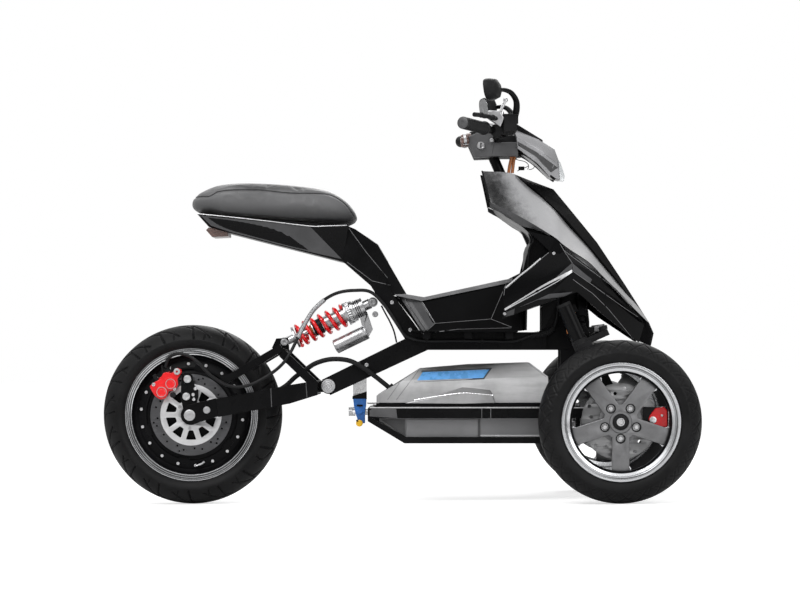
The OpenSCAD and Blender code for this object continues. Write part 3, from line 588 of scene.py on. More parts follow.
# %% Rubber and leatherette
def tyre_rubber(name):
    """Rubber with grit and a faint bloom."""
    rubber = Finish(name, (0.012, 0.012, 0.0125), 0.55, Specular_IOR_Level=0.16)
    bloom = rubber.noise(11.0, 5.0, 0.65)
    rubber.set("Base Color", rubber.mix(bloom.step(0.35, 0.75), (0.005, 0.005, 0.0053),
                                        (0.011, 0.011, 0.0115)))
    rubber.set("Roughness", bloom.step(0.3, 0.7, 0.4, 0.6))
    rubber.bump(rubber.noise(900.0, 2.0, 0.5), 0.12)
    return rubber.material


def leatherette(name):
    """A web of cells for the grain, over a colour painted with light and shade by height: dark low down, light
    just under the seam and darker again on top, broken up by random wear.
    """
    hide = Finish(name, (0.05, 0.05, 0.052), 0.4, Sheen_Weight=0.25, Sheen_Roughness=0.4)
    grain = hide.cells(520.0, "DISTANCE_TO_EDGE")
    wear_and_shade_noise = hide.noise(6.0, 3.0, 0.5)
    height = hide.axis("Z") + hide.axis("X") * 0.055 + (wear_and_shade_noise - 0.5) * 0.03
    # Painted shade and highlight: by height the colour goes from dark on the lower side to light under the seam,
    # then darker on the top.
    painted_light_tone = hide.mix(height.step(0.75, 0.8), (0.016, 0.016, 0.017), (0.12, 0.12, 0.123))
    painted_light_tone = hide.mix(height.step(0.822, 0.838), painted_light_tone, (0.045, 0.045, 0.046))
    hide.set("Base Color", hide.mix(wear_and_shade_noise.step(0.35, 0.7, 0.0, 0.3), painted_light_tone, (0.022, 0.022, 0.023)))
    hide.set("Roughness", wear_and_shade_noise.step(0.3, 0.7, 0.36, 0.48) + grain.step(0.0, 0.2, 0.08, 0.0))
    hide.bump(grain.step(0.0, 0.25), 0.12, 0.8)
    return hide.material


def lens(name, color, rough, alpha):
    """A tinted lens: see-through, glossy, with faint moulded bars."""
    glass = Finish(name, color, rough, 0.0, Transmission_Weight=0.35, IOR=1.49, Alpha=alpha,
                   Coat_Weight=0.6)
    bars = (glass.axis("Z") * (2000 * math.pi / 4)).sine()
    return glass.bump(bars, 0.15, 0.5).material


TYRE_RUBBER = tyre_rubber("tyre_rubber")
LEATHERETTE = leatherette("leatherette")
THREAD = clouded("seat_thread", (0.02, 0.02, 0.021), 0.6, 0.7, 60.0, 900.0, 0.05).material
SMOKED_LENS = lens("smoked_lens", (0.2, 0.11, 0.09), 0.12, 0.85)
CLEAR_LENS = lens("clear_lens", (0.82, 0.86, 0.88), 0.06, 0.55)
MIRROR_GLASS = brushed("mirror_glass", (0.9, 0.91, 0.92), 0.04, (1, 1, 1), 0.0, 0.95)

# %% [markdown]
# The side fairing is the one painted panel that isn't black. It is a metallic silver-grey, and its
# colour is a ramp along the panel with flakes and a cloudy mottle in it: near black at its rear
# upper end as painted shade, and lighter forward as a painted reflection.


# %% The silver-grey fairing paint
def fairing_paint(name):
    """Ramp along 0.894 x plus 0.447 z from the datum, broken up by noise, over fine metal flakes."""
    paint = Finish(name, (0.4, 0.4, 0.41), 0.3, 0.6, Coat_Weight=0.4, Coat_Roughness=0.08)
    forward = (paint.axis("X") - 0.1095) * 0.894 + (paint.axis("Z") - 0.4233) * 0.447
    mottle = paint.noise(60.0, 6.0, 0.75, (1, 1, 0.5))
    shade_and_reflection_ramp = forward + (mottle - 0.5) * 0.07
    flake = paint.cells(1400.0)
    # Painted shade and reflection: near black at the rear upper end, mid grey in the middle, lighter forward.
    shade_and_reflection_tone = paint.mix(shade_and_reflection_ramp.step(0.325, 0.4), (0.012, 0.012, 0.013), (0.4, 0.4, 0.41))
    shade_and_reflection_tone = paint.mix(shade_and_reflection_ramp.step(0.38, 0.5), shade_and_reflection_tone, (0.52, 0.52, 0.53))
    paint.set("Base Color", paint.mix(flake.step(0.2, 0.6, 0.12, 0.0), shade_and_reflection_tone, (0.9, 0.9, 0.9)))
    paint.set("Roughness", mottle.step(0.35, 0.7, 0.28, 0.42))
    paint.bump(mottle, 0.05)
    return paint.material


FAIRING_GREY = fairing_paint("fairing_grey")
COWL_GREY = clouded("cowl_grey", (0.3, 0.3, 0.31), 0.24, 0.4, 22.0, 400.0, 0.04, 1.5,
                    Metallic=0.6, Coat_Weight=0.4).material
print("all finishes", len(bpy.data.materials))

# %% [markdown]
# ## Camera, floor and light
# The scooter is seen square from its right, from about knee height, with a long lens. The camera is
# level with the body frame, so it is turned by the same nose-down angle.


# %% Camera and stage
CAMERA_BACK = 7.85
camera_data = bpy.data.cameras.new("camera")
camera = in_scene("camera", camera_data)
camera.matrix_world = Matrix([
    (COS, SIN, 0, DATUM[0]), (0, 0, -1, -CAMERA_BACK), (-SIN, COS, 0, DATUM[2]), (0, 0, 0, 1)])
camera_data.sensor_width = 36.0
camera_data.lens = 129.7
camera_data.shift_x, camera_data.shift_y = -0.045, 0.055
camera_data.clip_end = 100
bpy.context.scene.camera = camera


def studio(world_level, seen_level, dim_level):
    """A world that lights the scooter softly and shows white to the camera and through glass."""
    world = bpy.data.worlds.new("studio")
    bpy.context.scene.world = world
    world.use_nodes = True
    tree = world.node_tree
    background = tree.nodes["Background"]
    background.inputs["Color"].default_value = (1, 1, 1, 1)
    path = tree.nodes.new("ShaderNodeLightPath")
    most = path.outputs["Is Camera Ray"]
    for name in ("Is Glossy Ray", "Is Transmission Ray"):
        join = tree.nodes.new("ShaderNodeMath")
        join.operation = "MAXIMUM"
        tree.links.new(most, join.inputs[0])
        tree.links.new(path.outputs[name], join.inputs[1])
        most = join.outputs[0]
    span = tree.nodes.new("ShaderNodeMapRange")
    span.inputs["To Min"].default_value = world_level
    span.inputs["To Max"].default_value = seen_level
    tree.links.new(most, span.inputs["Value"])
    # Gloss sees a studio that is bright overhead and dim near the horizon
    where = tree.nodes.new("ShaderNodeTexCoord")
    parts = tree.nodes.new("ShaderNodeSeparateXYZ")
    tree.links.new(where.outputs["Generated"], parts.inputs[0])
    height = tree.nodes.new("ShaderNodeMapRange")
    height.interpolation_type = "SMOOTHSTEP"
    for name, value in (("From Min", -0.05), ("From Max", 0.75),
                        ("To Min", dim_level), ("To Max", 1.0)):
        height.inputs[name].default_value = value
    tree.links.new(parts.outputs["Z"], height.inputs["Value"])
    swap = tree.nodes.new("ShaderNodeMix")
    tree.links.new(path.outputs["Is Glossy Ray"], swap.inputs[0])
    tree.links.new(span.outputs[0], swap.inputs[2])
    tree.links.new(height.outputs[0], swap.inputs[3])
    tree.links.new(swap.outputs[0], background.inputs["Strength"])


def area_lamp(name, place, aim, size, power):
    """A square soft lamp that looks from its place at a point, both in metres."""
    data = bpy.data.lights.new(name, "AREA")
    data.size, data.energy = size, power
    facing = standing(np.asarray(place, float) - np.asarray(aim, float))
    in_scene(name, data).matrix_world = Matrix(
        [(*facing[i], place[i]) for i in range(3)] + [(0, 0, 0, 1)])


studio(0.55, 1.0, 0.22)
area_lamp("key", (-1.6, -2.6, 3.4), (0, 0, 0.4), 2.2, 85)
area_lamp("fill", (2.6, -3.2, 1.8), (0.2, 0, 0.4), 2.5, 40)
area_lamp("back", (0.4, 3.0, 2.6), (0, 0, 0.5), 2.5, 45)


def pale_floor():
    """A large plane whose own colour is near white, and which looks white far away."""
    floor = in_scene("floor", bpy.data.meshes.new("floor"))
    reach = 30.0
    floor.data.from_pydata([(-reach, -reach, 0), (reach, -reach, 0), (reach, reach, 0),
                            (-reach, reach, 0)], [], [(0, 1, 2, 3)])
    paint = Finish("floor_paint", (0.87, 0.87, 0.87), 0.9, Specular_IOR_Level=0.1)
    dust = paint.noise(3.0, 3.0)
    paint.set("Base Color", paint.mix(dust.step(0.2, 0.8), (0.86, 0.86, 0.86), (0.885, 0.885, 0.885)))
    rays = [paint.node("ShaderNodeLightPath", output=name)
            for name in ("Is Camera Ray", "Is Transmission Ray")]
    seen = rays[0].most(rays[1])
    paint.set("Emission Color", paint.mix(seen, (0, 0, 0), (0.55, 0.55, 0.55)))
    paint.shader.inputs["Emission Strength"].default_value = 1.0
    floor.data.materials.append(paint.material)


pale_floor()
bpy.context.scene.view_settings.view_transform = "Standard"
print("camera", tuple(round(v, 3) for v in camera.location), "lens", camera_data.lens)

# %% [markdown]
# ## Tyres
# A tyre is a profile turned about the axle, and its tread is that surface pushed inward along
# grooves. Each groove is a line that drifts round the tyre as it runs from the crown to the
# shoulder. The depth at a point depends only on how far it lies from the nearest line, so the whole
# tread is worked out at once from two arrays, the angle and the place across the tread.


# %% Tread
def tyre_profile(outer, flange, half_width, rim_half, across, side_rows):
    """(radius, width, place across the tread) from bead to bead: side curve, crown arc, side curve."""
    shoulder = outer - 0.62 * half_width
    drop = outer - shoulder
    crown = (half_width ** 2 + drop ** 2) / (2 * drop)
    reach = math.asin(half_width / crown)
    bend = np.linspace(reach, -reach, across)
    tread = np.column_stack([outer - crown + crown * np.cos(bend), crown * np.sin(bend), crown * bend])
    t = np.linspace(0, 1, side_rows, endpoint=False)
    radius = flange - 1 + (shoulder - flange + 1) * t
    width = rim_half + (half_width - rim_half) * np.sin(t * np.pi / 2) ** 0.8
    side = np.column_stack([radius, width, width * 0 + crown * reach + 30])
    lip = np.array([[flange - 9, rim_half - 5, crown * reach + 40]])
    right = np.vstack([lip, side])
    return np.vstack([right, tread, (right * [1, -1, -1])[::-1]])


def groove_depth(angle, place, radius, lines, pitch_count):
    """Depth of cut. A line is (start, drift, from, to, width, depth), start and drift in pitches."""
    depth = np.zeros(np.broadcast(angle, place).shape)
    pitch_mm = 2 * np.pi * radius / pitch_count
    out = np.abs(place)
    for start, drift, low, high, width, cut in lines:
        share = np.clip((out - low) / (high - low), 0, 1)
        off = (angle * pitch_count / (2 * np.pi) - start - drift * share + 0.5) % 1 - 0.5
        near = np.clip((width / 2 + 1.2 - np.abs(off) * pitch_mm) / 1.6, 0, 1)
        ends = np.clip((out - low + 2) / 2.5, 0, 1) * np.clip((high + 2 - out) / 2.5, 0, 1)
        depth = np.maximum(depth, cut * near * ends)
    return depth


CORE_SHARE = 0.72  # grooves are pushed in towards a ring at this share of the outer radius
EDGE_ROW = 14  # the profile row where the tread's edge stands a little proud


def tyre_form(outer, flange, half_width, rim_half, lines, pitch_count, steps, across, side_rows=12):
    """The profile turned about z, pushed in towards the core ring where a groove runs."""
    profile = tyre_profile(outer, flange, half_width, rim_half, across, side_rows)
    angle = np.linspace(0, 2 * np.pi, steps, endpoint=False)[None]
    radius, width, place = (profile[:, i][:, None] for i in range(3))
    cut = groove_depth(angle, place, radius, lines, pitch_count)
    core = outer * CORE_SHARE
    scale = np.where(cut > 0, 1 - cut / np.hypot(radius - core, width), 1)
    r = core + (radius - core) * scale
    w = width * scale + 0 * angle
    edge = 0.7 * np.exp(-((np.abs(place) - np.abs(place[EDGE_ROW])) / 1.6) ** 2)
    grid = np.stack([(r + edge) * np.cos(angle), (r + edge) * np.sin(angle), w], -1)
    return grid_form(grid[::-1], wrap_cols=True, wrap_rows=True)


SIDES = ("right", "left")
REAR_LINES = [(0.0, -0.62, 22, 66, 4.2, 4.2), (0.0, -0.1, 30, 78, 3.6, 4.0),
              (0.46, -0.5, 8, 42, 4.0, 4.2), (0.55, 0.02, 48, 76, 2.6, 2.6)]
FRONT_LINES = [(0.0, 0.95, 6, 60, 2.3, 2.0), (0.5, -0.95, 6, 60, 2.3, 2.0),
               (0.0, 0.3, 46, 66, 2.0, 1.6), (0.5, -0.3, 46, 66, 2.0, 1.6)]
REAR_TYRE = dict(outer=243, flange=180, half_width=65, rim_half=52)
FRONT_TYRE = dict(outer=213, flange=155, half_width=55, rim_half=47)
rear_tread = tyre_form(lines=REAR_LINES, pitch_count=16, steps=720, across=70, **REAR_TYRE)
piece("rear_tyre_rubber", rear_tread.moved(REAR_AXLE, OUT_RIGHT), "rear_wheel", "tyre", TYRE_RUBBER,
      ["rear_tyre"], merge=False, angle=50)
front_tread = tyre_form(lines=FRONT_LINES, pitch_count=26, steps=620, across=60, side_rows=10,
                        **FRONT_TYRE)
for side in SIDES:
    piece(f"front_tyre_rubber_{side}", front_tread.moved(FRONT_AXLE, OUT_RIGHT).on(side),
          f"front_wheel_{side}", "tyre", TYRE_RUBBER, [f"front_tyre_{side}"], merge=False, angle=50)
print("tread quads", len(rear_tread.faces[0]), len(front_tread.faces[0]))

# %% [markdown]
# ## Plates with holes
# Discs, spokes and brackets are flat plates with many holes. A flat Blender curve with one closed
# line for each edge fills itself, leaves the holes open and rounds every rim, so it is drawn as a
# curve and then read back as a form.


# %% Plates
def plate(outlines, low, high, rim=0.6):
    """A plate between two heights whose first outline is its edge and the others its holes."""
    curve = bpy.data.curves.new("plate", "CURVE")
    curve.dimensions = "2D"
    curve.fill_mode = "BOTH"
    curve.extrude = max((high - low) / 2 - rim, 0)
    curve.bevel_depth, curve.offset, curve.bevel_resolution = rim, -rim, 1
    for outline in outlines:
        outline = np.asarray(outline, float)
        spline = curve.splines.new("POLY")
        spline.points.add(len(outline) - 1)
        flat = np.column_stack([outline, np.zeros(len(outline)), np.ones(len(outline))])
        spline.points.foreach_set("co", flat.astype(np.float32).ravel())
        spline.use_cyclic_u = True
    holder = in_scene("plate", curve)
    mesh = holder.evaluated_get(bpy.context.evaluated_depsgraph_get()).to_mesh()
    points = vertex_values(mesh)
    corners = np.empty(len(mesh.loops), np.int32)
    mesh.loops.foreach_get("vertex_index", corners)
    sizes = np.empty(len(mesh.polygons), np.int32)
    starts = np.empty(len(mesh.polygons), np.int32)
    mesh.polygons.foreach_get("loop_total", sizes)
    mesh.polygons.foreach_get("loop_start", starts)
    faces = [corners[starts[sizes == n][:, None] + np.arange(n)] for n in np.unique(sizes)]
    bpy.data.objects.remove(holder)
    bpy.data.curves.remove(curve)
    return Form(points, faces).moved((0, 0, (low + high) / 2))


def circle(radius, steps=32, centre=(0, 0)):
    """Points at equal angles: the centre plus radius times cosine and sine."""
    angle = np.linspace(0, 2 * np.pi, steps, endpoint=False)
    return np.column_stack([np.cos(angle), np.sin(angle)]) * radius + centre


def spun(outline, degrees):
    """A flat outline turned about the origin."""
    return np.asarray(outline, float) @ turn((0, 0, 1), degrees)[:2, :2].T


def softened(outline, radius, steps=4):
    """Corners replaced by short curves: each runs from one side point to the next past the corner."""
    p = np.asarray(outline, float)
    before, after = np.roll(p, 1, 0), np.roll(p, -1, 0)
    back, ahead = before - p, after - p
    start = p + back / np.linalg.norm(back, axis=1)[:, None] * radius
    end = p + ahead / np.linalg.norm(ahead, axis=1)[:, None] * radius
    t = np.linspace(0, 1, steps)[None, :, None]
    curve = (1 - t) ** 2 * start[:, None] + 2 * t * (1 - t) * p[:, None] + t ** 2 * end[:, None]
    return curve.reshape(-1, 2)


def ring_of(count, radius, start=0.0, height=0.0):
    """Places at equal steps round a circle."""
    angle = np.radians(start + 360 * np.arange(count) / count)
    return np.column_stack([radius * np.cos(angle), radius * np.sin(angle), np.full(count, height)])


def drilled(radius, steps, *rows):
    """Round holes: each row is a count of them, the radius of their circle and its first angle."""
    return [circle(radius, steps, place[:2]) for row in rows for place in ring_of(*row)]


def hex_bolt(width, height, washer):
    """A hexagon head with a chamfered top, on a round washer."""
    across = width / 2 / math.cos(math.radians(30))
    head = spindle([(across, 0), (across, height * 0.8), (across * 0.82, height)], 6)
    return head + puck(washer, -0.2, 1.2, 24)


def cap_bolt(radius, height):
    """A round screw head: a wall that folds over into a sunk round socket half as wide."""
    return spindle([(radius, 0), (radius, height * 0.85), (radius * 0.9, height),
                    (radius * 0.5, height), (radius * 0.475, height * 0.45)], 18)


print("plates ready")

# %% [markdown]
# ## Front wheels
# Five flat spokes run from the hub into slots in a black barrel, and the rim ends in a wide rolled
# lip. The star is one plate: its outline goes out along each spoke and back in to the notch between
# two spokes. The nut pockets are holes in it with a floor behind.

# %% Star, rim, disc and nuts
SPOKE_HALF, SPOKE_ROOT, SPOKE_END, NOTCH, BARREL = 22.5, 40.0, 129.0, 46.0, 132.0
STAR_LOW, STAR_TOP = 8.0, 28.0
SPOKES, SPOKE_START, LUG_CIRCLE = 5, 270.0, 43.0


def star_outline():
    """For each spoke: its four corners, then the notch half way to the next."""
    spoke = [(SPOKE_ROOT, -SPOKE_HALF), (SPOKE_END, -SPOKE_HALF), (SPOKE_END, SPOKE_HALF),
             (SPOKE_ROOT, SPOKE_HALF), spun([(NOTCH, 0)], 180 / SPOKES)[0]]
    return np.vstack([spun(spoke, SPOKE_START + 360 / SPOKES * k) for k in range(SPOKES)])


lugs = ring_of(SPOKES, LUG_CIRCLE, SPOKE_START)
star = plate([star_outline()] + drilled(11.0, 28, (SPOKES, LUG_CIRCLE, SPOKE_START)),
             STAR_LOW, STAR_TOP, 1.8)
star += puck(56, 2, 12, 48)
star += lathe([(20.5, 27.0), (29.5, 27.0), (29.5, 29.6), (28, 31.2), (22, 31.2), (20.5, 29.6)], 56)
star += collar(28, 30, -32, 10)
slot_frames = plate([softened([(118, -27), (132.5, -27), (132.5, 27), (118, 27)], 3),
                     softened([(114, -24), (129.6, -24), (129.6, 24), (114, 24)], 3)],
                    18, 25, 0.5).fanned(SPOKES, SPOKE_START)
rim = lathe([(BARREL, -44), (140, -46), (140, 44.5), (154.4, 46.6), (155.6, 50), (154, 52.6),
             (150, 53.4), (144, 52.4), (141.2, 50.2), (140.2, 47), (BARREL + 1, 44), (BARREL, 40)], 160)
back_lip = lathe([(BARREL, -47), (140, -45), (155, -47), (152, -52), (146, -51)], 120)
barrel = lathe([(BARREL - 0.6, -46), (BARREL + 0.6, -46), (BARREL + 1.5, 43.8), (BARREL - 0.2, 41),
                (BARREL - 4.5, 36), (BARREL - 5, 30), (BARREL - 1, 24)], 120)
nuts = (hex_bolt(13, 9, 9.6) + puck(3.4, 8.9, 11.4, 16)).repeated(lugs + [0, 0, 14])
lug_cups = collar(9.6, 12.8, 0, 1, 28).repeated(lugs + [0, 0, STAR_TOP - 0.3])
hub_cap = spindle([(20.6, 20), (20.6, 28.2), (18.5, 29.6)], 40)
hub_nut = hex_bolt(15, 6.5, 10.5).moved((0, 0, 29.4)) + puck(4.5, 35, 39, 18)
front_disc = plate([circle(100, 96)] + drilled(4.6, 14, (10, 88, 9), (10, 74, 27)), -27, -23, 0.5)
FRONT_PIECES = [("star", star, "alloy", SPOKE_METAL, 45),
                ("slot_frames", slot_frames, "alloy", FRONT_RIM_METAL, 35),
                ("rim", rim + back_lip, "alloy", FRONT_RIM_METAL, 40),
                ("barrel", barrel, "motor", MOTOR_BLACK, 40),
                ("nuts", nuts, "steel", BRIGHT_STEEL, 30),
                ("lug_cups", lug_cups, "plastic", SATIN_PLASTIC, 35),
                ("hub_cap", hub_cap, "plastic", SATIN_PLASTIC, 35),
                ("hub_nut", hub_nut, "steel", BRIGHT_STEEL, 30),
                ("disc", front_disc, "steel", FRONT_DISC_STEEL, 35)]
for side in SIDES:
    for name, form, slot, finish, angle in FRONT_PIECES:
        piece(f"front_{name}_{side}", form.moved(FRONT_AXLE, OUT_RIGHT).on(side),
              f"front_wheel_{side}", slot, finish,
              [f"front_wheel_{side}"] if name == "star" else (), angle=angle)
print("front wheel pieces", len(FRONT_PIECES) * 2)

# %% [markdown]
# ## Rear wheel
# The lip is bright and has three turned lines, the well behind it is black, and the motor's cover
# is a low dome with a ring of eighteen small screws. The brake disc is a drilled dark ring round a
# bright carrier with ten rounded windows.

# %% Rim, motor, disc and carrier
def on_rear_wheel(name, form, slot, finish, replaces=(), **more):
    """A form drawn along z from the axle, as a piece of the rear wheel."""
    piece(name, form.moved(REAR_AXLE, OUT_RIGHT), "rear_wheel", slot, finish, replaces, **more)


bright_lip = lathe([(160, 40), (160.8, 50.5), (162.5, 53.4), (165.6, 54), (166.1, 53.2), (166.7, 54.1),
                    (170.6, 54.7), (171.1, 53.9), (171.7, 54.8), (175.4, 55.2), (175.9, 54.4),
                    (176.5, 55.2), (179, 55), (180.4, 52.5), (180, 49), (165, 47), (164, 38)], 180)
on_rear_wheel("rear_rim_lip", bright_lip + bright_lip.moved(matrix=np.diag([1, 1, -1.0])), "alloy",
              REAR_RIM_METAL, ["rear_rim"], angle=30)
well = lathe([(148, -38), (165, -47), (165, 47), (160.5, 49), (159.5, 40), (156, 34), (148, 30)], 140)
on_rear_wheel("rear_rim_well", well, "motor", MOTOR_BLACK, angle=40)
motor_cover = spindle([(58, -42), (64, -39), (124, -37), (130, -33), (150, -29), (150, 29), (144, 33),
                       (132, 34.5), (129, 36.5), (124, 36.8), (121, 34.5), (118, 34.5), (113, 38),
                       (90, 40), (86, 42), (42, 42), (40, 46), (40, 62), (28, 66), (26, 74), (24, 75)],
                      144)
on_rear_wheel("motor_cover", motor_cover, "motor", MOTOR_BLACK, ["hub_motor"], angle=30)
on_rear_wheel("motor_screws", cap_bolt(4.4, 4.6).repeated(ring_of(18, 138, 174, 33.6)), "steel",
              BRIGHT_STEEL, angle=30)
on_rear_wheel("motor_pads", block((117, -15, 34), (135, 15, 36.6)).fanned(6, 20), "motor", MOTOR_BLACK,
              bevel=1.0)
valve_root, valve_tip = (REAR_AXLE + OUT_RIGHT @ np.array(place)
                         for place in ((26, -133, 38), (10, -139, 47)))
valve_path = [valve_root + [8, 0, 6], valve_root, (valve_root + valve_tip) / 2, valve_tip]
piece("valve_stem", tube(smooth_path(valve_path, 5), [3.6] * 10 + [2.6] * 6, 12), "rear_wheel", "steel",
      BRIGHT_STEEL)
window = softened([(42, -6), (67, -14), (67, 14), (42, 6)], 3.2)
carrier = plate([circle(83, 96), circle(25, 40)] + [spun(window, 90 + 36 * k) for k in range(10)],
                65.2, 69.2, 0.7)
on_rear_wheel("disc_carrier", carrier, "bare_alloy", CARRIER_METAL)
rotor = plate([circle(110, 120), circle(80, 90)]
              + drilled(2.9, 12, (12, 91, 6), (12, 97, 18), (6, 103, 12)), 64, 68, 0.5)
on_rear_wheel("rear_rotor", rotor, "steel", DISC_STEEL, ["rear_disc"])
on_rear_wheel("carrier_studs", cap_bolt(4.6, 3.4).repeated(ring_of(3, 37, 25, 69)), "steel", STEEL,
              angle=30)
print("rear wheel ready")

# %% [markdown]
# ## The seat
# The seat is one long pad that is crowned on top and tucked in underneath. It starts as rings that
# follow a rounded plan outline, each ring at its share of the height between the pan and the crown.

# %% The seat before it is stuffed
CROWN_X = [-668, -640, -605, -560, -506, -450, -392, -340, -296, -262, -236, -210]
CROWN_Z = [410, 421, 429, 433, 433, 431, 427, 422, 416, 407, 394, 372]
PAN = ((-641, 352), (-236, 320))
RING_SIZE = [0.3, 0.7, 0.9, 0.965, 0.993, 1.0, 0.99, 0.965, 0.91, 0.83, 0.7, 0.5, 0.25]
RING_RISE = [0.0, 0.0, 0.01, 0.08, 0.21, 0.38, 0.55, 0.7, 0.82, 0.9, 0.955, 0.985, 1.0]


def pan_height(x):
    """Height of the seat pan: a straight line along x."""
    (x0, z0), (x1, z1) = PAN
    return z0 + (x - x0) * (z1 - z0) / (x1 - x0)


def seat_rings(shrink=3.0):
    """Rings of a superellipse |x/a|^n + |y/b|^m = 1, scaled and lifted ring by ring."""
    angle = np.linspace(0, 2 * np.pi, 96, endpoint=False)
    c, s = np.cos(angle), np.sin(angle)
    flat_x = np.sign(c) * np.abs(c) ** 0.62 * (231 - shrink)
    flat_y = np.sign(s) * np.abs(s) ** 0.5 * (124 - shrink)
    flat_y = flat_y * np.interp(flat_x, [-226, -150, 60, 226], [0.8, 1.0, 1.0, 0.84])
    rings = []
    for size, rise in zip(RING_SIZE, RING_RISE):
        x, y = -439 + flat_x * size, flat_y * size
        low = pan_height(x) + 1
        high = np.interp(x, CROWN_X, CROWN_Z) - shrink
        rings.append(np.stack([x, y, low + (high - low) * rise], -1))
    return np.array(rings)


def with_poles(grid):
    """A grid of rings whose first and last rings are closed by fans to their middles."""
    form = grid_form(grid, wrap_cols=True)
    rows, cols = grid.shape[:2]
    ring = np.arange(cols)
    after, last = (ring + 1) % cols, (rows - 1) * cols
    pole = np.full(cols, rows * cols)
    fans = np.vstack([np.stack([after, ring, pole], -1),
                      np.stack([ring + last, after + last, pole + 1], -1)])
    return Form(np.vstack([form.points, grid[0].mean(0), grid[-1].mean(0)]), form.faces + [fans])


seat_start = with_poles(seat_rings())
print("seat starts with", len(seat_start.points), "points")

# %% [markdown]
# Foam pushes the cover outward until the cover is tight. A cloth with pressure inside does the
# same. The move of each point is capped, so the pad keeps the outline that it was cut to.


# %% Stuffing
def stuffed(name, form, voxel_mm=5.0, pressure=4.0, cap_mm=6.0):
    """Remeshes a form evenly, blows it up as cloth, and caps each point's move. Gives a mesh."""
    thing = in_scene(name, mesh_from(name, form))
    even = thing.modifiers.new("even", "REMESH")
    even.mode = "VOXEL"
    even.voxel_size = voxel_mm / 1000
    shown = thing.evaluated_get(bpy.context.evaluated_depsgraph_get())
    thing.data = bpy.data.meshes.new_from_object(shown)
    thing.modifiers.clear()
    start = vertex_values(thing.data)
    cloth = thing.modifiers.new("stuffing", "CLOTH")
    cloth.settings.quality = 5
    cloth.settings.use_pressure = True
    cloth.settings.uniform_pressure_force = pressure
    cloth.settings.effector_weights.gravity = 0
    for number in range(1, 21):
        bpy.context.scene.frame_set(number)
    shown = thing.evaluated_get(bpy.context.evaluated_depsgraph_get())
    move = vertex_values(shown.data) - start
    length = np.linalg.norm(move, axis=1)[:, None]
    move *= np.minimum(1, cap_mm / 1000 / np.maximum(length, 1e-9))
    thing.modifiers.clear()
    thing.data.vertices.foreach_set("co", (start + move).ravel())
    bpy.context.scene.frame_set(1)
    print(name, "mean move", round(float(length.mean() * 1000), 2), "mm")
    mesh = thing.data
    bpy.data.objects.remove(thing)
    return mesh


seat_mesh = stuffed("seat_pad", seat_start)
print("seat points", len(seat_mesh.vertices))

# %% [markdown]
# The cover has one seam. It runs along the shoulder on each side, dips down the front corners and
# joins behind the rider. The seam is a groove in the pad with a thin welt sewn into it.

# %% The seam and its welt
SEAM = [(-222, 346), (-240, 372), (-258, 388), (-290, 403), (-340, 406), (-387, 406), (-430, 410),
        (-481, 415), (-556, 414), (-590, 409)]


def ray_tree(meshes):
    """A ray-casting tree of the faces of several meshes."""
    points, faces = [], []
    for mesh in meshes:
        shift = len(points)
        points += vertex_values(mesh).tolist()
        faces += [tuple(v + shift for v in p.vertices) for p in mesh.polygons]
    return BVHTree.FromPolygons(points, faces)


def sewn_line(cover):
    """The seam as a line round the pad: points outside each side and the back, dropped inward."""
    side = smooth_path([(x, z) for x, z in SEAM], 6)
    near = np.column_stack([side[:, 0], np.full(len(side), -150), side[:, 1]])
    inward = [(0, 1, 0)] * len(near)
    sweep = np.radians(np.linspace(-62, 62, 15))
    back = np.column_stack([-560 - 200 * np.cos(sweep), 200 * np.sin(sweep), 398 + 0 * sweep])
    inward_back = [(math.cos(a), -math.sin(a), 0) for a in sweep]
    far = near[::-1] * [1, -1, 1]
    starts = np.vstack([near, back, far])
    aims = inward + inward_back + [(0, -1, 0)] * len(far)
    line = []
    for start, aim in zip(to_metres(starts), aims):
        hit = cover.ray_cast(Vector(start), Vector(BODY_TURN @ np.array(aim)).normalized())[0]
        if hit is not None:
            line.append(to_body(hit))
    return np.array(line)


seat_cover = ray_tree([seat_mesh])
seam_line = sewn_line(seat_cover)
dense = smooth_path(seam_line, 4)
pad = to_body(vertex_values(seat_mesh))
normal = vertex_values(seat_mesh, "normal") @ BODY_TURN
away = np.array([np.min(np.linalg.norm(dense - p, axis=1)) for p in pad])
groove = -2.4 * np.exp(-(away / 3.2) ** 2) + 0.9 * np.exp(-((away - 11) / 7) ** 2)
pad = pad + normal * groove[:, None]
pad[:, 2] = np.maximum(pad[:, 2], pan_height(pad[:, 0]) + 0.6)
seat_mesh.vertices.foreach_set("co", to_metres(pad).astype(np.float32).ravel())
seat = in_scene("seat_pad", seat_mesh)
seat_mesh.materials.clear()
seat_mesh.materials.append(LEATHERETTE)
seat_mesh.polygons.foreach_set("use_smooth", np.ones(len(seat_mesh.polygons), bool))
soft = seat.modifiers.new("soft", "SUBSURF")
soft.levels = soft.render_levels = 1
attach(seat, "chassis")
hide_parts("seat_cushion")
welt = np.array([to_body(seat_cover.find_nearest(Vector(p))[0]) for p in to_metres(dense)])
piece("seat_welt", tube(welt, 1.0, 8), "chassis", "seat", THREAD)
print("seam points", len(seam_line), "pad low", pad[:, 2].min().round(1), "high",
      pad[:, 2].max().round(1))

# %% [markdown]
# ## The shock absorber
# Its axis runs from the swingarm's eye up to the frame's eye. Everything on it is turned, so each
# part is a profile along that axis. The spring is a helix: x = r cos a, y = r sin a, and the height
# grows with a, except for the last half turn at each end, which is ground flat.

# %% Spring, bump stop, preload ring and bolts
SHOCK_LOW, SHOCK_HIGH = np.array([-412.0, 0, 5]), np.array([-172.0, 0, 114])
SHOCK_LENGTH = np.linalg.norm(SHOCK_HIGH - SHOCK_LOW)
SHOCK_TURN = standing(SHOCK_HIGH - SHOCK_LOW)


def on_shock(form):
    """A form drawn along z, laid along the shock."""
    return form.moved(SHOCK_LOW, SHOCK_TURN)


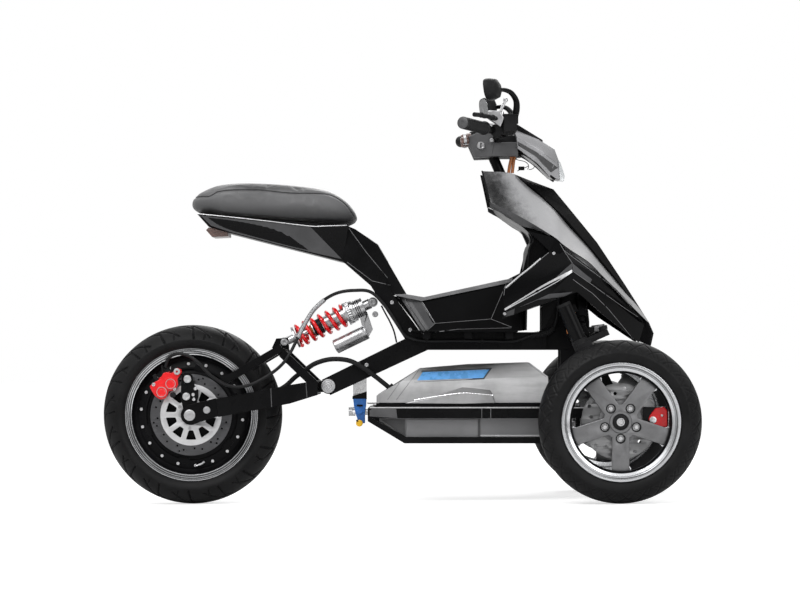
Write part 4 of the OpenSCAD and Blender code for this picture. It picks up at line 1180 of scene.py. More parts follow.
def helix(radius, low, high, turns, steps=30, flat=0.5):
    """A coil whose pitch fades out over the flat turns at each end."""
    a = np.linspace(0, turns, int(turns * steps) + 1)
    rate = np.clip(np.minimum(a, turns - a) / flat, 0.12, 1)
    rise = np.concatenate([[0], np.cumsum((rate[1:] + rate[:-1]) / 2)])
    z = low + (high - low) * rise / rise[-1]
    return np.column_stack([radius * np.cos(2 * np.pi * a), radius * np.sin(2 * np.pi * a), z])


piece("shock_coil", on_shock(tube(helix(28, 40, 178.5, 6.6), 5.0, 14)), "chassis", "red", RED_COAT,
      replaces=["shock_spring"], angle=60)
bump = lathe([(8.2, 70), (13, 71), (15, 74), (12.5, 77), (15, 80), (12.5, 83), (15, 86), (14, 90),
              (8.2, 90)], 40)
piece("shock_bump_stop", on_shock(bump), "chassis", "rubber", COPPER_PIPE, angle=60)
cup = lathe([(8.2, 88), (19, 88), (21.5, 90), (21.5, 112), (20.2, 113), (20.2, 86.5), (8.2, 113)], 48)
piece("shock_bump_cup", on_shock(cup), "chassis", "plastic", SATIN_PLASTIC, bevel=0.5)


def knurled(radius, low, high, notches, depth=1.2):
    """A ring with straight flutes: the radius drops by the depth at every other pair of steps."""
    angle = np.linspace(0, 2 * np.pi, notches * 4, endpoint=False)
    r = radius - depth * (np.arange(notches * 4) % 4 >= 2)
    return prism(np.column_stack([r * np.cos(angle), r * np.sin(angle)]), low, high)


preload = knurled(30.5, 189, 199, 30) + lathe(
    [(24, 200), (28.5, 200), (29.5, 201), (29.5, 208), (28.5, 209), (24, 209)], 48)
piece("shock_preload_ring", on_shock(preload), "chassis", "alloy", SHOCK_METAL, bevel=0.4)
grooves = total([lathe([(24.6, z), (25.6, z + 0.2), (25.6, z + 2.2), (24.6, z + 2.4)], 48)
                 for z in (213, 218, 223)])
piece("shock_thread_bands", on_shock(grooves), "chassis", "alloy", MOTOR_BLACK)


def socket_cap(radius, height, hexagon):
    """A cap screw head along z with a six-sided socket sunk into its top."""
    side = np.linspace(0, 2 * np.pi, 24, endpoint=False)
    six = hexagon / np.cos((side + np.pi / 6) % (np.pi / 3) - np.pi / 6)
    ring = np.column_stack([np.cos(side), np.sin(side)])
    levels = [(ring * radius, 0), (ring * radius, height - 1), (ring * (radius - 1), height),
              (ring * six[:, None], height), (ring * six[:, None], height - min(4, height * 0.6))]
    return with_poles(np.array([np.column_stack([flat, np.full(24, z)]) for flat, z in levels]))


def on_side(form, x, z, y):
    """A form drawn along z, standing out of the right side at a height and a distance."""
    return form.moved((x, y, z), OUT_RIGHT)


eyes = total([on_side(socket_cap(10, 8, 4.5), x, z, -22) for x, _, z in (SHOCK_LOW, SHOCK_HIGH)])
piece("shock_eye_bolts", eyes.both(), "chassis", "steel", STEEL, bevel=0.4)

BOTTLE_LOW, BOTTLE_HIGH = np.array([-274.0, 0, -8]), np.array([-189.0, 0, 33])
BOTTLE_TURN = standing(BOTTLE_HIGH - BOTTLE_LOW)
bottle = spindle([(14, -2), (18, 1), (19.8, 3), (19.8, 16), (18.2, 17), (18.2, 19.5), (19.8, 20.5),
                  (19.8, 24), (18.2, 25), (18.2, 27), (19.8, 28), (19.8, 72), (18.4, 73), (18.4, 76),
                  (19.8, 77), (19.8, 90), (17, 94)])
piece("reservoir_bottle", bottle.moved(BOTTLE_LOW, BOTTLE_TURN), "chassis", "alloy", SHOCK_METAL,
      angle=40)
bands = total([collar(18.3, 18.9, z, z + 2, 48) for z in (17.4, 25, 73.5)])
piece("reservoir_bands", bands.moved(BOTTLE_LOW, BOTTLE_TURN), "chassis", "alloy", MOTOR_BLACK)
piece("reservoir_bolt", on_side(socket_cap(8, 6, 3.5), -165.6, 81, -10).both(), "chassis", "steel",
      STEEL, bevel=0.4)
print("shock length", SHOCK_LENGTH.round(1))

# %% [markdown]
# ## Hoses
# The brake hose leaves the caliper, drops to the swingarm, climbs behind the shock inside a guard of
# sprung wire and follows the frame rail forward under two ties. The motor cable dives into its gland.

# %% Brake hose, guard, ties and motor cable
HOSE_POINTS = [
    (-728, -88, -62), (-719, -96, -38), (-695, -105, -26), (-664, -112, -32), (-636, -120, -52),
    (-604, -126, -84), (-566, -128, -108), (-530, -128, -115), (-492, -127, -107),
    (-446, -126, -82), (-412, -126, -54), (-390, -121, -22), (-372, -100, 16), (-354, -80, 54),
    (-330, -72, 92), (-300, -76, 120), (-264, -88, 138), (-222, -96, 144), (-176, -98, 140),
    (-138, -96, 104), (-104, -96, 54), (-78, -96, 20), (-28, -96, 9), (60, -96, 9), (140, -96, 8),
    (212, -96, 8), (256, -96, 22), (298, -96, 31), (316, -93, 44), (325, -88, 68), (328, -82, 96),
    (332, -79, 135)]
CABLE_POINTS = [
    (-430, -84, -128), (-404, -84, -112), (-378, -84, -88), (-352, -85, -70), (-324, -90, -52),
    (-283, -98, -41), (-236, -104, -44), (-198, -108, -62), (-162, -110, -88), (-128, -111, -115)]
hose_path = smooth_path(HOSE_POINTS, 8)
piece("brake_hose", tube(hose_path, 4.5, 16), "chassis", "rubber", HOSE_RUBBER,
      replaces=["rear_brake_hose"], angle=60)
piece("motor_lead", tube(smooth_path(CABLE_POINTS, 8), 6.5, 18), "chassis", "rubber",
      SATIN_PLASTIC, replaces=["motor_cable"], angle=60)


def ribs(path, radius, pitch, swell):
    """A sleeve whose radius swells with the sine of the distance along the path."""
    fine = smooth_path(path, 14)
    along = np.concatenate([[0], np.cumsum(np.linalg.norm(np.diff(fine, axis=0), axis=1))])
    even = np.arange(0, along[-1], pitch / 6)
    place = np.column_stack([np.interp(even, along, fine[:, i]) for i in range(3)])
    return tube(place, radius + swell * np.sin(even * 2 * np.pi / pitch), 16)


piece("hose_guard", ribs(HOSE_POINTS[12:16], 5.9, 3.2, 0.8), "chassis", "steel", STEEL, angle=70)
piece("hose_boot", ribs(HOSE_POINTS[26:29], 8.2, 5.5, 1.3), "chassis", "rubber", SATIN_PLASTIC,
      angle=70)


def cable_tie(x, z):
    """A flat strap over the hose, with arms in above and below it and its lock on the outer side."""
    face = block((x - 2.2, -103, z - 6), (x + 2.2, -101.8, z + 6))
    arms = total([block((x - 2.2, -101.8, z + low), (x + 2.2, -89.8, z + low + 1.2))
                  for low in (4.8, -6)])
    return face + arms + block((x - 4, -105.5, z - 3), (x + 4, -102.6, z + 4))


piece("cable_ties", cable_tie(-25, 9) + cable_tie(124, 8), "chassis", "plastic", SATIN_PLASTIC,
      bevel=0.4)
THIN_WIRE = [(-147, -94, 103), (-137, -97, 84), (-124, -98, 60), (-113, -98, 34), (-106, -95, 4)]
piece("thin_lead", tube(smooth_path(THIN_WIRE, 8), 2.2, 10), "chassis", "rubber", SATIN_PLASTIC)
print("hose length", np.linalg.norm(np.diff(hose_path, axis=0), axis=1).sum().round())

# %% [markdown]
# ## Rear brake and dropout
# The caliper is two halves with the disc between them. Its outer half has two round pistons, cast
# ears and banjo fittings, so it is an outline with raised parts. All places are from the axle.

# %% Caliper, bracket and hardware
CALIPER = [(-110, 77), (-102, 86), (-92, 91), (-80, 98), (-74, 112), (-65, 116), (-54, 112), (-45, 117),
           (-43, 124), (-35, 127), (-25, 123), (-23, 116), (-30, 104), (-35, 97), (-33, 82), (-39, 70),
           (-49, 65), (-59, 64), (-61, 55), (-68, 45), (-78, 41), (-88, 45), (-97, 53), (-105, 66)]
BRACKET = [(-22, 109), (-13, 116), (-3, 115), (5, 107), (12, 78), (22, 66), (22, 49), (14, 20), (16, -14),
           (0, -22), (-16, -14), (-20, 20), (-26, 45), (-25, 80)]


def from_axle(outline):
    return [(REAR_AXLE[0] + x, REAR_AXLE[2] + z) for x, z in outline]


def inset(outline, share):
    """An outline drawn toward its middle by a share."""
    points = np.asarray(outline, float)
    return points.mean(0) + (points - points.mean(0)) * (1 - share)


def near_axle(form, x, z, y):
    return on_side(form, REAR_AXLE[0] + x, REAR_AXLE[2] + z, y)


def caps_near_axle(places, y, radius, height, hexagon):
    """Cap screws at several (x, z) places from the axle."""
    return total([near_axle(socket_cap(radius, height, hexagon), x, z, y) for x, z in places])


def arc_plate(inner, outer, start, end, y0, y1, steps=12):
    """A sector of a ring about the axle between two angles, solid from y0 to y1."""
    a = np.radians(np.linspace(start, end, steps))
    edge = [(outer * math.cos(t), outer * math.sin(t)) for t in a] \
        + [(inner * math.cos(t), inner * math.sin(t)) for t in a[::-1]]
    return slab(from_axle(edge), y0, y1)


halves = slab(from_axle(CALIPER), -87, -74) + slab(from_axle(inset(CALIPER, 0.06)), -58, -49) \
    + arc_plate(117.5, 131, 116, 143, -74.5, -57.5)
piece("caliper_body", halves, "chassis", "red", RED_COAT, replaces=["rear_caliper"], bevel=1.6)
ridge = slab(from_axle([(-100, 74), (-84, 84), (-62, 100), (-48, 104), (-40, 96), (-44, 80), (-58, 72),
                        (-70, 58), (-84, 52), (-96, 62)]), -90, -86.5)
PISTONS = ((-53, 84), (-77, 62))
piston = spindle([(15.5, 0), (15.5, 4), (14.3, 5.2), (11.5, 5.2), (11, 4), (8, 3.6), (7.4, 4.6)], 40)
bosses = total([near_axle(piston, x, z, -88.5) for x, z in PISTONS])
piece("caliper_face", ridge + bosses, "chassis", "red", RED_COAT, bevel=0.8)
circlips = total([near_axle(collar(12.2, 13.6, 5, 5.7), x, z, -88.5) for x, z in PISTONS])
piece("caliper_circlips", circlips, "chassis", "steel", STEEL)
ear = near_axle(lathe([(3, 0), (9, 0), (9, 3), (8.4, 3.8), (3, 3.8)], 32), -36, 117, -90.5)
piece("caliper_pins", ear + caps_near_axle([(-99, 82), (-43, 70)], -87, 5, 4, 2.6), "chassis", "steel",
      BRIGHT_STEEL, bevel=0.3)
# Banjo bolts and bleed nipples: the places of both ends from the axle, and a radius
FITTINGS = [(-88, 90, -96, 104, 4.5), (-94, 100, -98, 108, 6), (-50, 112, -50, 128, 3.6),
            (-74, 110, -76, 130, 3.6), (-76, 126, -77, 134, 2.4), (-50, 124, -50, 133, 2.4)]
middle_of_axle = REAR_AXLE * [1, 0, 1]
fittings = total([rod(middle_of_axle + [x0, -80, z0], middle_of_axle + [x1, -82, z1], radius, 16)
                  for x0, z0, x1, z1, radius in FITTINGS])
black_ear = near_axle(spindle([(8, 0), (8, 4), (7, 5)], 32), -47, 54, -87)
piece("caliper_fittings", black_ear + fittings, "chassis", "plastic", SATIN_PLASTIC, bevel=0.4)

piece("caliper_bracket", slab(from_axle(BRACKET), -94, -87), "chassis", "frame", FRAME_PAINT,
      replaces=["rear_caliper_bracket"], bevel=1.4)
bracket_bolts = caps_near_axle([(-7, 97), (-10, 50)], -94, 10.5, 7, 5.5) \
    + caps_near_axle([(14, 71), (8, 55), (10, 42)], -94, 4.6, 3.4, 2.2)
piece("bracket_bolts", bracket_bolts, "chassis", "steel", BRIGHT_STEEL, bevel=0.4)
print("caliper", len(halves.points))

# %% [markdown]
# The dropout is a thick plate on the end of each leg, with the axle nut and a clamping bolt. Welds
# and plate joints show as thin raised lines across the arm, and the pivot is capped by a turned disc.

# %% Dropouts, axle nuts, pivot caps and weld lines
DROPOUT = [(-19, 3), (-15, 17), (-6, 27), (20, 34), (72, 46), (78, 24), (80, 0), (48, -12), (17, -22),
           (-4, -20), (-15, -12)]
piece("dropout_plates", slab(from_axle(DROPOUT), -114.5, -112).both(), "chassis", "frame",
      GLOSS_BLACK, bevel=0.8)
nut = prism(ring_of(8, 12.5, 22.5)[:, :2], 0, 6)
washer = lathe([(8, 0), (15, 0), (15, 2), (14, 2.6), (8, 2.6)], 40)
axle_nut = near_axle(washer + nut.moved((0, 0, 2)) + socket_cap(8.5, 5, 4.6).moved((0, 0, 7)),
                     0, 0, -114)
clamp = near_axle(collar(4, 9.5, 0, 1.2, 32) + socket_cap(7.6, 5, 4), 46, 14, -114.4)
piece("axle_hardware", (axle_nut + clamp).both(), "chassis", "steel", STEEL,
      replaces=["rear_axle_bolt"], bevel=0.4)
cap = lathe([(POLE, 0), (19, 0), (19, 5), (18, 6.5), (15.5, 7), (15, 6), (13.6, 6), (13.2, 7), (10, 7.6),
             (9.4, 6.4), (8, 6.4), (7.4, 7.6), (5, 8.2), (4, 6), (POLE, 5.6)], 56)
piece("pivot_caps", on_side(cap, -290, -113, -92).both(), "chassis", "steel", STEEL,
      replaces=["pivot_bolt"], angle=25)


def seam_strip(start, end, width=2.2, y=-118):
    """A thin raised strip across the arm's side, from one point in x and z to the other."""
    start, end = np.asarray(start, float), np.asarray(end, float)
    along = (end - start) / np.linalg.norm(end - start)
    across = np.array([-along[1], along[0]]) * width / 2
    return slab([start - across, end - across, end + across, start + across], y - 0.7, y + 0.4)


strips = seam_strip((-443, -119), (-441, -169)) + seam_strip((-349, -104), (-346, -145))
piece("arm_seams", strips.both(), "chassis", "frame", DARK_GREY, bevel=0.3)
print("dropout done")

# %% [markdown]
# ## Fairing
# The silver-grey fairing is one sheet between two drawn edges, bowed a little outward. Below its
# lower edge it turns inward, and that return is given a dark grey as painted shade.

# %% Fairing sheets
FAIRING_UPPER = [(124, -98, 465), (202, -95, 460), (228, -96, 441), (254, -97, 418), (287, -98, 391),
                 (320, -98, 360), (352, -96, 322), (385, -92, 287), (418, -86, 251), (445, -78, 218),
                 (478, -66, 180), (515, -54, 137), (552, -44, 95), (573, -38, 65)]
FAIRING_LOWER = [(144, -150, 380), (160, -158, 372), (220, -178, 341), (264, -196, 315),
                 (302, -208, 291), (320, -213, 279), (334, -215, 266), (363, -214, 245),
                 (405, -206, 218), (441, -190, 183), (478, -168, 148), (523, -130, 103),
                 (568, -84, 62), (576, -42, 60)]


def sheet_between(upper, lower, thick, bow=0.0, rows=8, steps=4):
    """A closed sheet between two lines of as many points, bowed outward by a sine across it."""
    top, bottom = smooth_path(upper, steps), smooth_path(lower, steps)
    share = np.linspace(0, 1, rows + 1)[:, None, None]
    inward = np.array([0, 1.0, 0])
    outer = top * (1 - share) + bottom * share - inward * bow * np.sin(np.pi * share)
    inner = outer + inward * thick
    ring = np.concatenate([outer, inner[::-1]])
    return grid_form(ring.transpose(1, 0, 2), wrap_cols=True, caps=True)


fairing = sheet_between(FAIRING_UPPER, FAIRING_LOWER, 3.0, 3.5, steps=5)
for side in SIDES:
    piece(f"fairing_sheet_{side}", fairing.on(side), "chassis", "panel_grey", FAIRING_GREY,
          replaces=[f"fairing_{side}"], angle=50)
inner_edge = [(144, -140, 366), (158, -146, 358), (175, -152, 349), (225, -170, 316),
              (271, -188, 303), (303, -200, 284)]
outer_edge = [(143, -151, 379), (156, -157, 373), (172, -162, 366), (222, -179, 340),
              (265, -197, 314), (303, -209, 290)]
# Painted shade: the downward-facing return is dark grey.
edge_return = sheet_between(outer_edge, inner_edge, 2.0, rows=2, steps=4)
piece("fairing_return", edge_return.both(), "chassis", "panel_grey", DARK_GREY, angle=50)
rear_rim = tube(smooth_path([(124, -99, 465), (131, -118, 436), (144, -151, 379)], 5), 2.2, 10)
piece("fairing_rear_rim", rear_rim.both(), "chassis", "panel_black", GLOSS_BLACK)
print("fairing points", len(fairing.points))

# %% [markdown]
# Panel edges and folds are where black paint catches the light. Each is drawn as it is sighted from
# the camera: a ray through a point of the vehicle's middle plane goes on until it meets the panel,
# and a narrow painted bead or strip is laid there. Both sides get the same beads.


# %% Sight lines
def cover_of(*names):
    """A ray-casting tree of the CAD nodes and pieces of these names."""
    return ray_tree([(frame["nodes"].get(name) or bpy.data.objects[name]).data for name in names])


CAMERA_AT = np.array([0, -CAMERA_BACK * 1000, 0])


def sighted(path, cover, lift):
    """Where the sight lines through middle-plane points (x, z) meet a cover, lifted toward the eye."""
    line = []
    for x, z in path:
        aim = np.array([x, 0, z]) - CAMERA_AT
        aim /= np.linalg.norm(aim)
        hit = cover.ray_cast(Vector(to_metres(CAMERA_AT)), Vector(BODY_TURN @ aim))[0]
        if hit is not None:
            line.append(to_body(hit) - aim * lift)
    return np.array(line)


def straight(path, spacing=12.0):
    """Points added along the straight stretches of a path."""
    path = np.asarray(path, float)
    parts = [np.linspace(a, b, max(2, int(np.linalg.norm(b - a) / spacing) + 1))[:-1]
             for a, b in zip(path[:-1], path[1:])]
    return np.vstack(parts + [path[-1:]])


def bead(path, cover, radius=0.9, lift=0.2):
    """A thin round bead laid along a sighted path."""
    return tube(sighted(straight(path), cover, lift), radius, 6)


def strip(upper, lower, cover, thick=1.0, lift=0.8):
    """A thin strip laid between two sighted paths of as many points."""
    share = np.linspace(0, 1, 24)
    pair = []
    for path in (upper, lower):
        path = np.asarray(path, float)
        at = np.linspace(0, 1, len(path))
        even = np.column_stack([np.interp(share, at, path[:, 0]), np.interp(share, at, path[:, 1])])
        pair.append(sighted(even, cover, lift))
    count = min(len(p) for p in pair)
    return sheet_between(pair[0][:count], pair[1][:count], thick, rows=1, steps=1)


# Painted highlights: EDGE_GREY and EDGE_BRIGHT colour the beads and strips laid where edges and folds catch the
# light, and FACET_GREY, a little lighter than the black panels, colours facets that catch the light on the apron
# and the tunnel.
EDGE_GREY = clouded("edge_grey", (0.2, 0.2, 0.205), 0.3, 0.42, 20.0, 300.0, 0.02, 1.3,
                    Metallic=0.4).material
EDGE_BRIGHT = clouded("edge_bright", (0.62, 0.62, 0.63), 0.2, 0.32, 20.0, 300.0, 0.02, 1.15,
                      Metallic=0.4).material
FACET_GREY = clouded("facet_grey", (0.05, 0.05, 0.052), 0.3, 0.42, 9.0, 500.0, 0.02, 1.5,
                     Specular_IOR_Level=0.3).material
front_skin = cover_of("apron_right", "inner_leg_shield", "fairing_sheet_right")
LIT = [[(238, 315), (271, 285), (306, 254), (307, 249), (258, 209), (225, 183), (187, 150), (183, 115),
        (181, 80)],
       [(338, 273), (353, 247), (371, 221)], [(347, 256), (390, 224), (423, 200), (489, 151), (535, 105)],
       [(373, 198), (416, 168), (466, 132), (515, 97), (550, 74)],
       [(373, 176), (400, 156), (426, 138), (466, 99), (502, 56), (530, 22)]]
piece("apron_edge_beads", total([bead(path, front_skin) for path in LIT]).both(), "chassis",
      "panel_grey", EDGE_GREY)
# Painted highlight: a bright stripe and a chevron along the apron's folds.
bright = strip([(186, 96), (238, 128), (291, 161), (330, 182), (371, 203)],
               [(188, 91), (241, 120), (297, 150), (334, 171), (371, 195)], front_skin)
chevron = bead([(190, 153), (225, 183), (258, 209), (304, 249)], front_skin, 2.3, 0.6)
piece("apron_bright_stripe", (bright + chevron).both(), "chassis", "panel_grey", EDGE_BRIGHT, angle=50)
# Painted highlight: strips a little lighter than the black panel on apron facets that catch the light.
facet = strip([(330, 184), (350, 203), (371, 221)], [(330, 182), (350, 194), (371, 204)], front_skin) \
    + strip([(371, 221), (400, 196), (425, 176)], [(373, 200), (398, 182), (420, 166)], front_skin)
lower_facet = strip([(192, 87), (277, 122), (350, 155), (371, 176)],
                    [(189, 74), (277, 99), (352, 130), (373, 142)], front_skin)
piece("apron_facets", (facet + lower_facet).both(), "chassis", "panel_black", FACET_GREY, angle=50)


def sighted_screws(places, cover, radius, height, hexagon):
    """Cap screws that stand out of a cover at sighted middle-plane points."""
    return total([socket_cap(radius, height, hexagon).moved(found, OUT_RIGHT)
                  for found in sighted(places, cover, 0.0)])


screws = sighted_screws([(187, 82), (321, 247)], front_skin, 4.4, 3.0, 2.2)
piece("apron_screws", screws.both(), "chassis", "steel", STEEL, bevel=0.3)
print("apron beads laid")

# %% [markdown]
# The leg shield closes the space behind the front panels. Its middle stands no further back than its
# edges, and a flat cheek on each side joins it to the apron.

# %% Leg shield and cheeks
SHIELD = [(234, 126, 37), (236, 150, 150), (240, 160, 250), (252, 168, 279), (226, 160, 312),
          (160, 138, 360), (136, 104, 440), (134, 92, 462)]


def shield_line(x, half, z, width=14):
    """One crosswise line of the shield: flat in the middle, curving forward at its edges."""
    across = np.linspace(-1, 1, width)
    return np.column_stack([x + 5 * across ** 4, half * across, np.full(width, z)])


lines = np.array([shield_line(*row) for row in SHIELD])
lines = np.stack([smooth_path(lines[:, i], 3) for i in range(lines.shape[1])], 1)
back = lines + np.array([4.5, 0, 0])
shield = grid_form(np.concatenate([lines, back[:, ::-1]], 1)[::-1], wrap_cols=True, caps=True)
piece("leg_shield_skin", shield, "chassis", "panel_black", GLOSS_BLACK, replaces=["inner_leg_shield"],
      angle=40)
cheek = slab([(240, 312), (300, 296), (338, 268), (336, 240), (307, 240), (258, 200), (196, 152),
              (232, 196), (252, 277)], -152, -148)
piece("leg_shield_cheeks", cheek.both(), "chassis", "panel_black", GLOSS_BLACK, bevel=0.8)
print("leg shield", len(shield.points))

# %% [markdown]
# The tunnel cover gets painted highlights: grey on the bevel along its top, a lighter facet behind
# and bright lines on its folds. The seat's pan has a painted highlight along its flange, a grey panel
# on its side and a brown lamp below.

# %% Tunnel, mast and seat pan
tunnel_skin = cover_of("tunnel_cover", "seat_mast", "footboards", "seat_base", "frame_spine")
# Painted highlight: a grey strip on the top bevel of the tunnel cover.
bevel_top = slab([(-112, 134), (-80, 134.5), (-33, 126.5), (183, 173), (207, 177), (205, 168),
                  (186, 162), (-39, 115.5), (-106, 130)], -85, -78)
piece("tunnel_bevel", bevel_top.both(), "chassis", "panel_grey", EDGE_GREY, bevel=1.0)
grey_facet = strip([(-106, 127), (-72, 123), (-38, 116)], [(-40, 30), (-20, 42), (-2, 56)], tunnel_skin)
piece("tunnel_facet", grey_facet.both(), "chassis", "panel_black", FACET_GREY, angle=50)
# Painted highlights: bright beads on the folds of the tunnel cover and the mast.
folds = [[(-38, 116), (-2, 56), (150, 68), (192, 166)], [(-40, 28), (60, 40), (205, 44)],
         [(150, 68), (206, 46)], [(-2, 56), (-34, 28)]]
mast_lines = [[(-238, 316), (-190, 250), (-132, 180)], [(-242, 223), (-174, 172), (-124, 160)],
              [(-219, 313), (-158, 270), (-82, 140)]]
piece("fold_beads", total([bead(path, tunnel_skin, 0.8) for path in folds + mast_lines]).both(),
      "chassis", "panel_grey", EDGE_GREY)
mast_screws = sighted_screws([(-120, 113), (-70, 38), (-189, -57)], tunnel_skin, 5.5, 3.5, 2.8)
piece("mast_screws", mast_screws.both(), "chassis", "steel", STEEL, bevel=0.3)
pan_panel = strip([(-641, 350), (-560, 342), (-450, 331), (-342, 319)],
                  [(-612, 322), (-560, 305), (-400, 264), (-256, 231)], tunnel_skin)
piece("pan_side_panels", pan_panel.both(), "chassis", "panel_grey", FACET_GREY, angle=50)
# Painted highlight: a bright bead along the flange of the seat pan.
flange = tube(smooth_path([(-641, -106, 350), (-560, -107, 342), (-450, -107, 330), (-340, -107, 317),
                           (-300, -107, 317), (-240, -105, 319)], 5), 1.3, 8)
piece("pan_flange", flange.both(), "chassis", "panel_grey", EDGE_BRIGHT)
print("tunnel and pan trimmed")

# %% [markdown]
# ## Battery box
# The cover carries a pressed wedge with a weld bead, and a blank blue badge with a dark border.
# Under it lie a black gasket, a painted highlight along the cradle's edge and the two grey sheets
# of the case.


# %% Cover, badge and case sheets
def hulled(points):
    """The convex hull of a few points, as a form."""
    shell = bmesh.new()
    for point in points:
        shell.verts.new(point)
    bmesh.ops.convex_hull(shell, input=shell.verts)
    spare = [v for v in shell.verts if not v.link_faces]
    bmesh.ops.delete(shell, geom=spare, context="VERTS")
    shell.verts.index_update()
    form = Form(np.array([v.co[:] for v in shell.verts]),
                [np.array([[v.index for v in f.verts]]) for f in shell.faces])
    shell.free()
    return form


wedge = hulled([(-54, -147, -149), (70, -129, -103), (141, -133, -114), (152, -146, -134),
                (70, -157, -131), (150, -157, -137), (159, -153, -158), (-84, -151, -159),
                (70, -157, -160), (-54, -120, -149), (159, -120, -158), (-84, -120, -159)])
piece("cover_wedge", wedge.both(), "chassis", "bare_alloy", COVER_METAL, bevel=2.0)
weld = smooth_path([(-58, -150, -150), (8, -154, -139), (70, -157.4, -131), (110, -157.6, -133),
                    (152, -157.4, -137)], 16)
ripple = 1.7 + 0.5 * np.sin(np.arange(len(weld)) * 1.9)
piece("cover_weld", tube(weld, ripple, 8).both(), "chassis", "steel", BRIGHT_STEEL)

cover_skin = cover_of("battery_cover", "cover_wedge")
BADGE_DARK = clouded("badge_border", (0.05, 0.055, 0.06), 0.35, 0.45, 30.0, 400.0, 0.03).material
BADGE_BLUE = clouded("badge_blue", (0.13, 0.36, 0.72), 0.25, 0.35, 40.0, 300.0, 0.02, 1.35).material
border = strip([(-38, -72.5), (57, -69), (153, -65)], [(-60, -104), (35, -100), (131, -96)],
               cover_skin, 1.6, 0.4)
face = strip([(-36, -76.5), (55, -73), (145, -69.5)], [(-51.5, -99), (36, -95.5), (128.5, -92.5)],
             cover_skin, 1.6, 1.1)
cover_folds = [[(-100, -106), (-132, -152)], [(-46, -70), (-108, -152)], [(250, -52), (300, -90)]]
cradle_nose = slab([(-177, -177), (-170, -172.5), (-106, -172.5), (-103, -198), (-177, -193)],
                   -171, -169)
joint_gap = block((112.5, -147.5, -249), (118.5, -145, -200))
corner_fold = slab([(-149, -201), (-83, -201), (-83, -246)], -147.5, -145)
BOX_TRIM = [
    ("badge_border", border, "blue", BADGE_DARK, 0.0, 60),
    ("badge_face", face, "blue", BADGE_BLUE, 0.0, 60),
    # Painted highlights on the folds of the cover.
    ("cover_fold_beads", total([bead(path, cover_skin, 0.8, 0.1) for path in cover_folds]),
     "bare_alloy", EDGE_GREY, 0.0, 35),
    ("cover_gasket", block((-160, -149, -167), (304, -143, -158)), "panel_black", GLOSS_BLACK, 0.0, 35),
    ("cradle_lit_edge", block((-176, -171.5, -171), (398, -160, -168.2)), "panel_grey", EDGE_BRIGHT,
     0.0, 35),
    ("cradle_nose_plates", cradle_nose, "panel_grey", DARK_GREY, 0.6, 35),
    ("cradle_seams", total([rod((x, -170.6, -172), (x, -170.6, -197.5), 0.8, 6) for x in (122, 146)]),
     "panel_grey", EDGE_GREY, 0.0, 35),
    ("case_sheet_rear", block((-80, -149, -249), (112, -145, -201)), "case_grey", CASE_GREY, 1.0, 35),
    ("case_lip", block((119, -149, -247), (300, -145, -243)), "bare_alloy", EDGE_BRIGHT, 0.0, 35),
    ("case_joint", joint_gap + corner_fold, "panel_grey", DARK_GREY, 0.0, 35)]
for name, form, slot, finish, bevel, angle in BOX_TRIM:
    piece(name, form.both(), "chassis", slot, finish, bevel=bevel, angle=angle)
print("battery trimmed")

# %% [markdown]
# The hanger strap has black sleeves above and below its polished middle. The lean lock under it is
# a blue casting with a slot, steel stubs at its sides and a yellow knob with a dark centre.

# %% Hanger and lean lock
strap = block((-224, -61, -134), (-188, -57, -84))
sleeves = slab([(-226, -66), (-187, -68), (-187, -84), (-226, -80)], -62, -56) \
    + slab([(-226, -141), (-187, -128), (-187, -149), (-226, -149)], -62, -56)
piece("hanger_strap", strap, "chassis", "steel", BRIGHT_STEEL, bevel=0.8)
piece("hanger_sleeves", sleeves, "chassis", "panel_black", GLOSS_BLACK, bevel=0.8)
lock = slab([(-224, -148), (-188, -148), (-189, -166), (-192, -186), (-192, -214), (-208, -216),
             (-218, -186), (-222, -166)], -64, -40)
waist = block((-222, -65, -166), (-189, -39, -163))
boss = on_side(spindle([(8.5, 0), (8.5, 3), (6.5, 4.5)], 32), -205, -182, -64)
piece("lean_lock_body", lock + waist + boss, "chassis", "blue", BLUE_COAT, replaces=["lean_lock"],
      bevel=1.6)
dot = on_side(puck(3, 0, 2, 20), -213, -207, -67)
piece("lean_lock_slot", block((-214, -66, -168.5), (-198, -60, -163.5)) + dot, "chassis",
      "panel_black", MOTOR_BLACK)
# Short bars along x: rear end, front end, height, distance from the middle plane and radius
STUBS = [(-236, -218, -175, -52, 4.6), (-236, -218, -190, -52, 4.6), (-192, -181, -184, -52, 8),
         (-186, -158, -160, -60, 2.2), (-236, -226, -182.5, -52, 9.5)]
stubs = total([rod((rear, y, z), (front, y, z), radius) for rear, front, z, y, radius in STUBS])
piece("lean_lock_stubs", stubs, "chassis", "steel", STEEL, bevel=0.4)
knob = spindle([(7, -9), (9.6, -7), (9.6, 7), (7, 9)], 9)
piece("lean_lock_cap", on_side(knob, -207, -214, -58), "chassis", "yellow", YELLOW_CAP,
      replaces=["lean_lock_knob"], bevel=0.8)
print("lean lock ready")

# %% [markdown]
# ## Handlebar
# Everything here rides on the steering body. The two mirrors are the same piece on either side. Each
# has a shell that is deep in the middle, a glass turned in toward the rider and a bent arm.

# %% Mirrors
MIRROR_AT = np.array([148.0, -300, 668])
MIRROR_TURN = turn((0, 0, 1), -15) @ turn((0, 1, 0), -8)


def mirror_rings(levels):
    """Rounded rectangles |y/a|^n + |z/b|^n = 1, each row its half width, half height and depth."""
    around = np.linspace(0, 2 * np.pi, 40, endpoint=False)
    flat = np.column_stack([np.cos(around), np.sin(around)])
    flat = np.sign(flat) * np.abs(flat) ** 0.72
    rings = [np.column_stack([np.full(40, depth), flat * (wide, tall)])
             for wide, tall, depth in levels]
    return grid_form(np.array(rings), wrap_cols=True, caps=True).moved(MIRROR_AT, MIRROR_TURN)


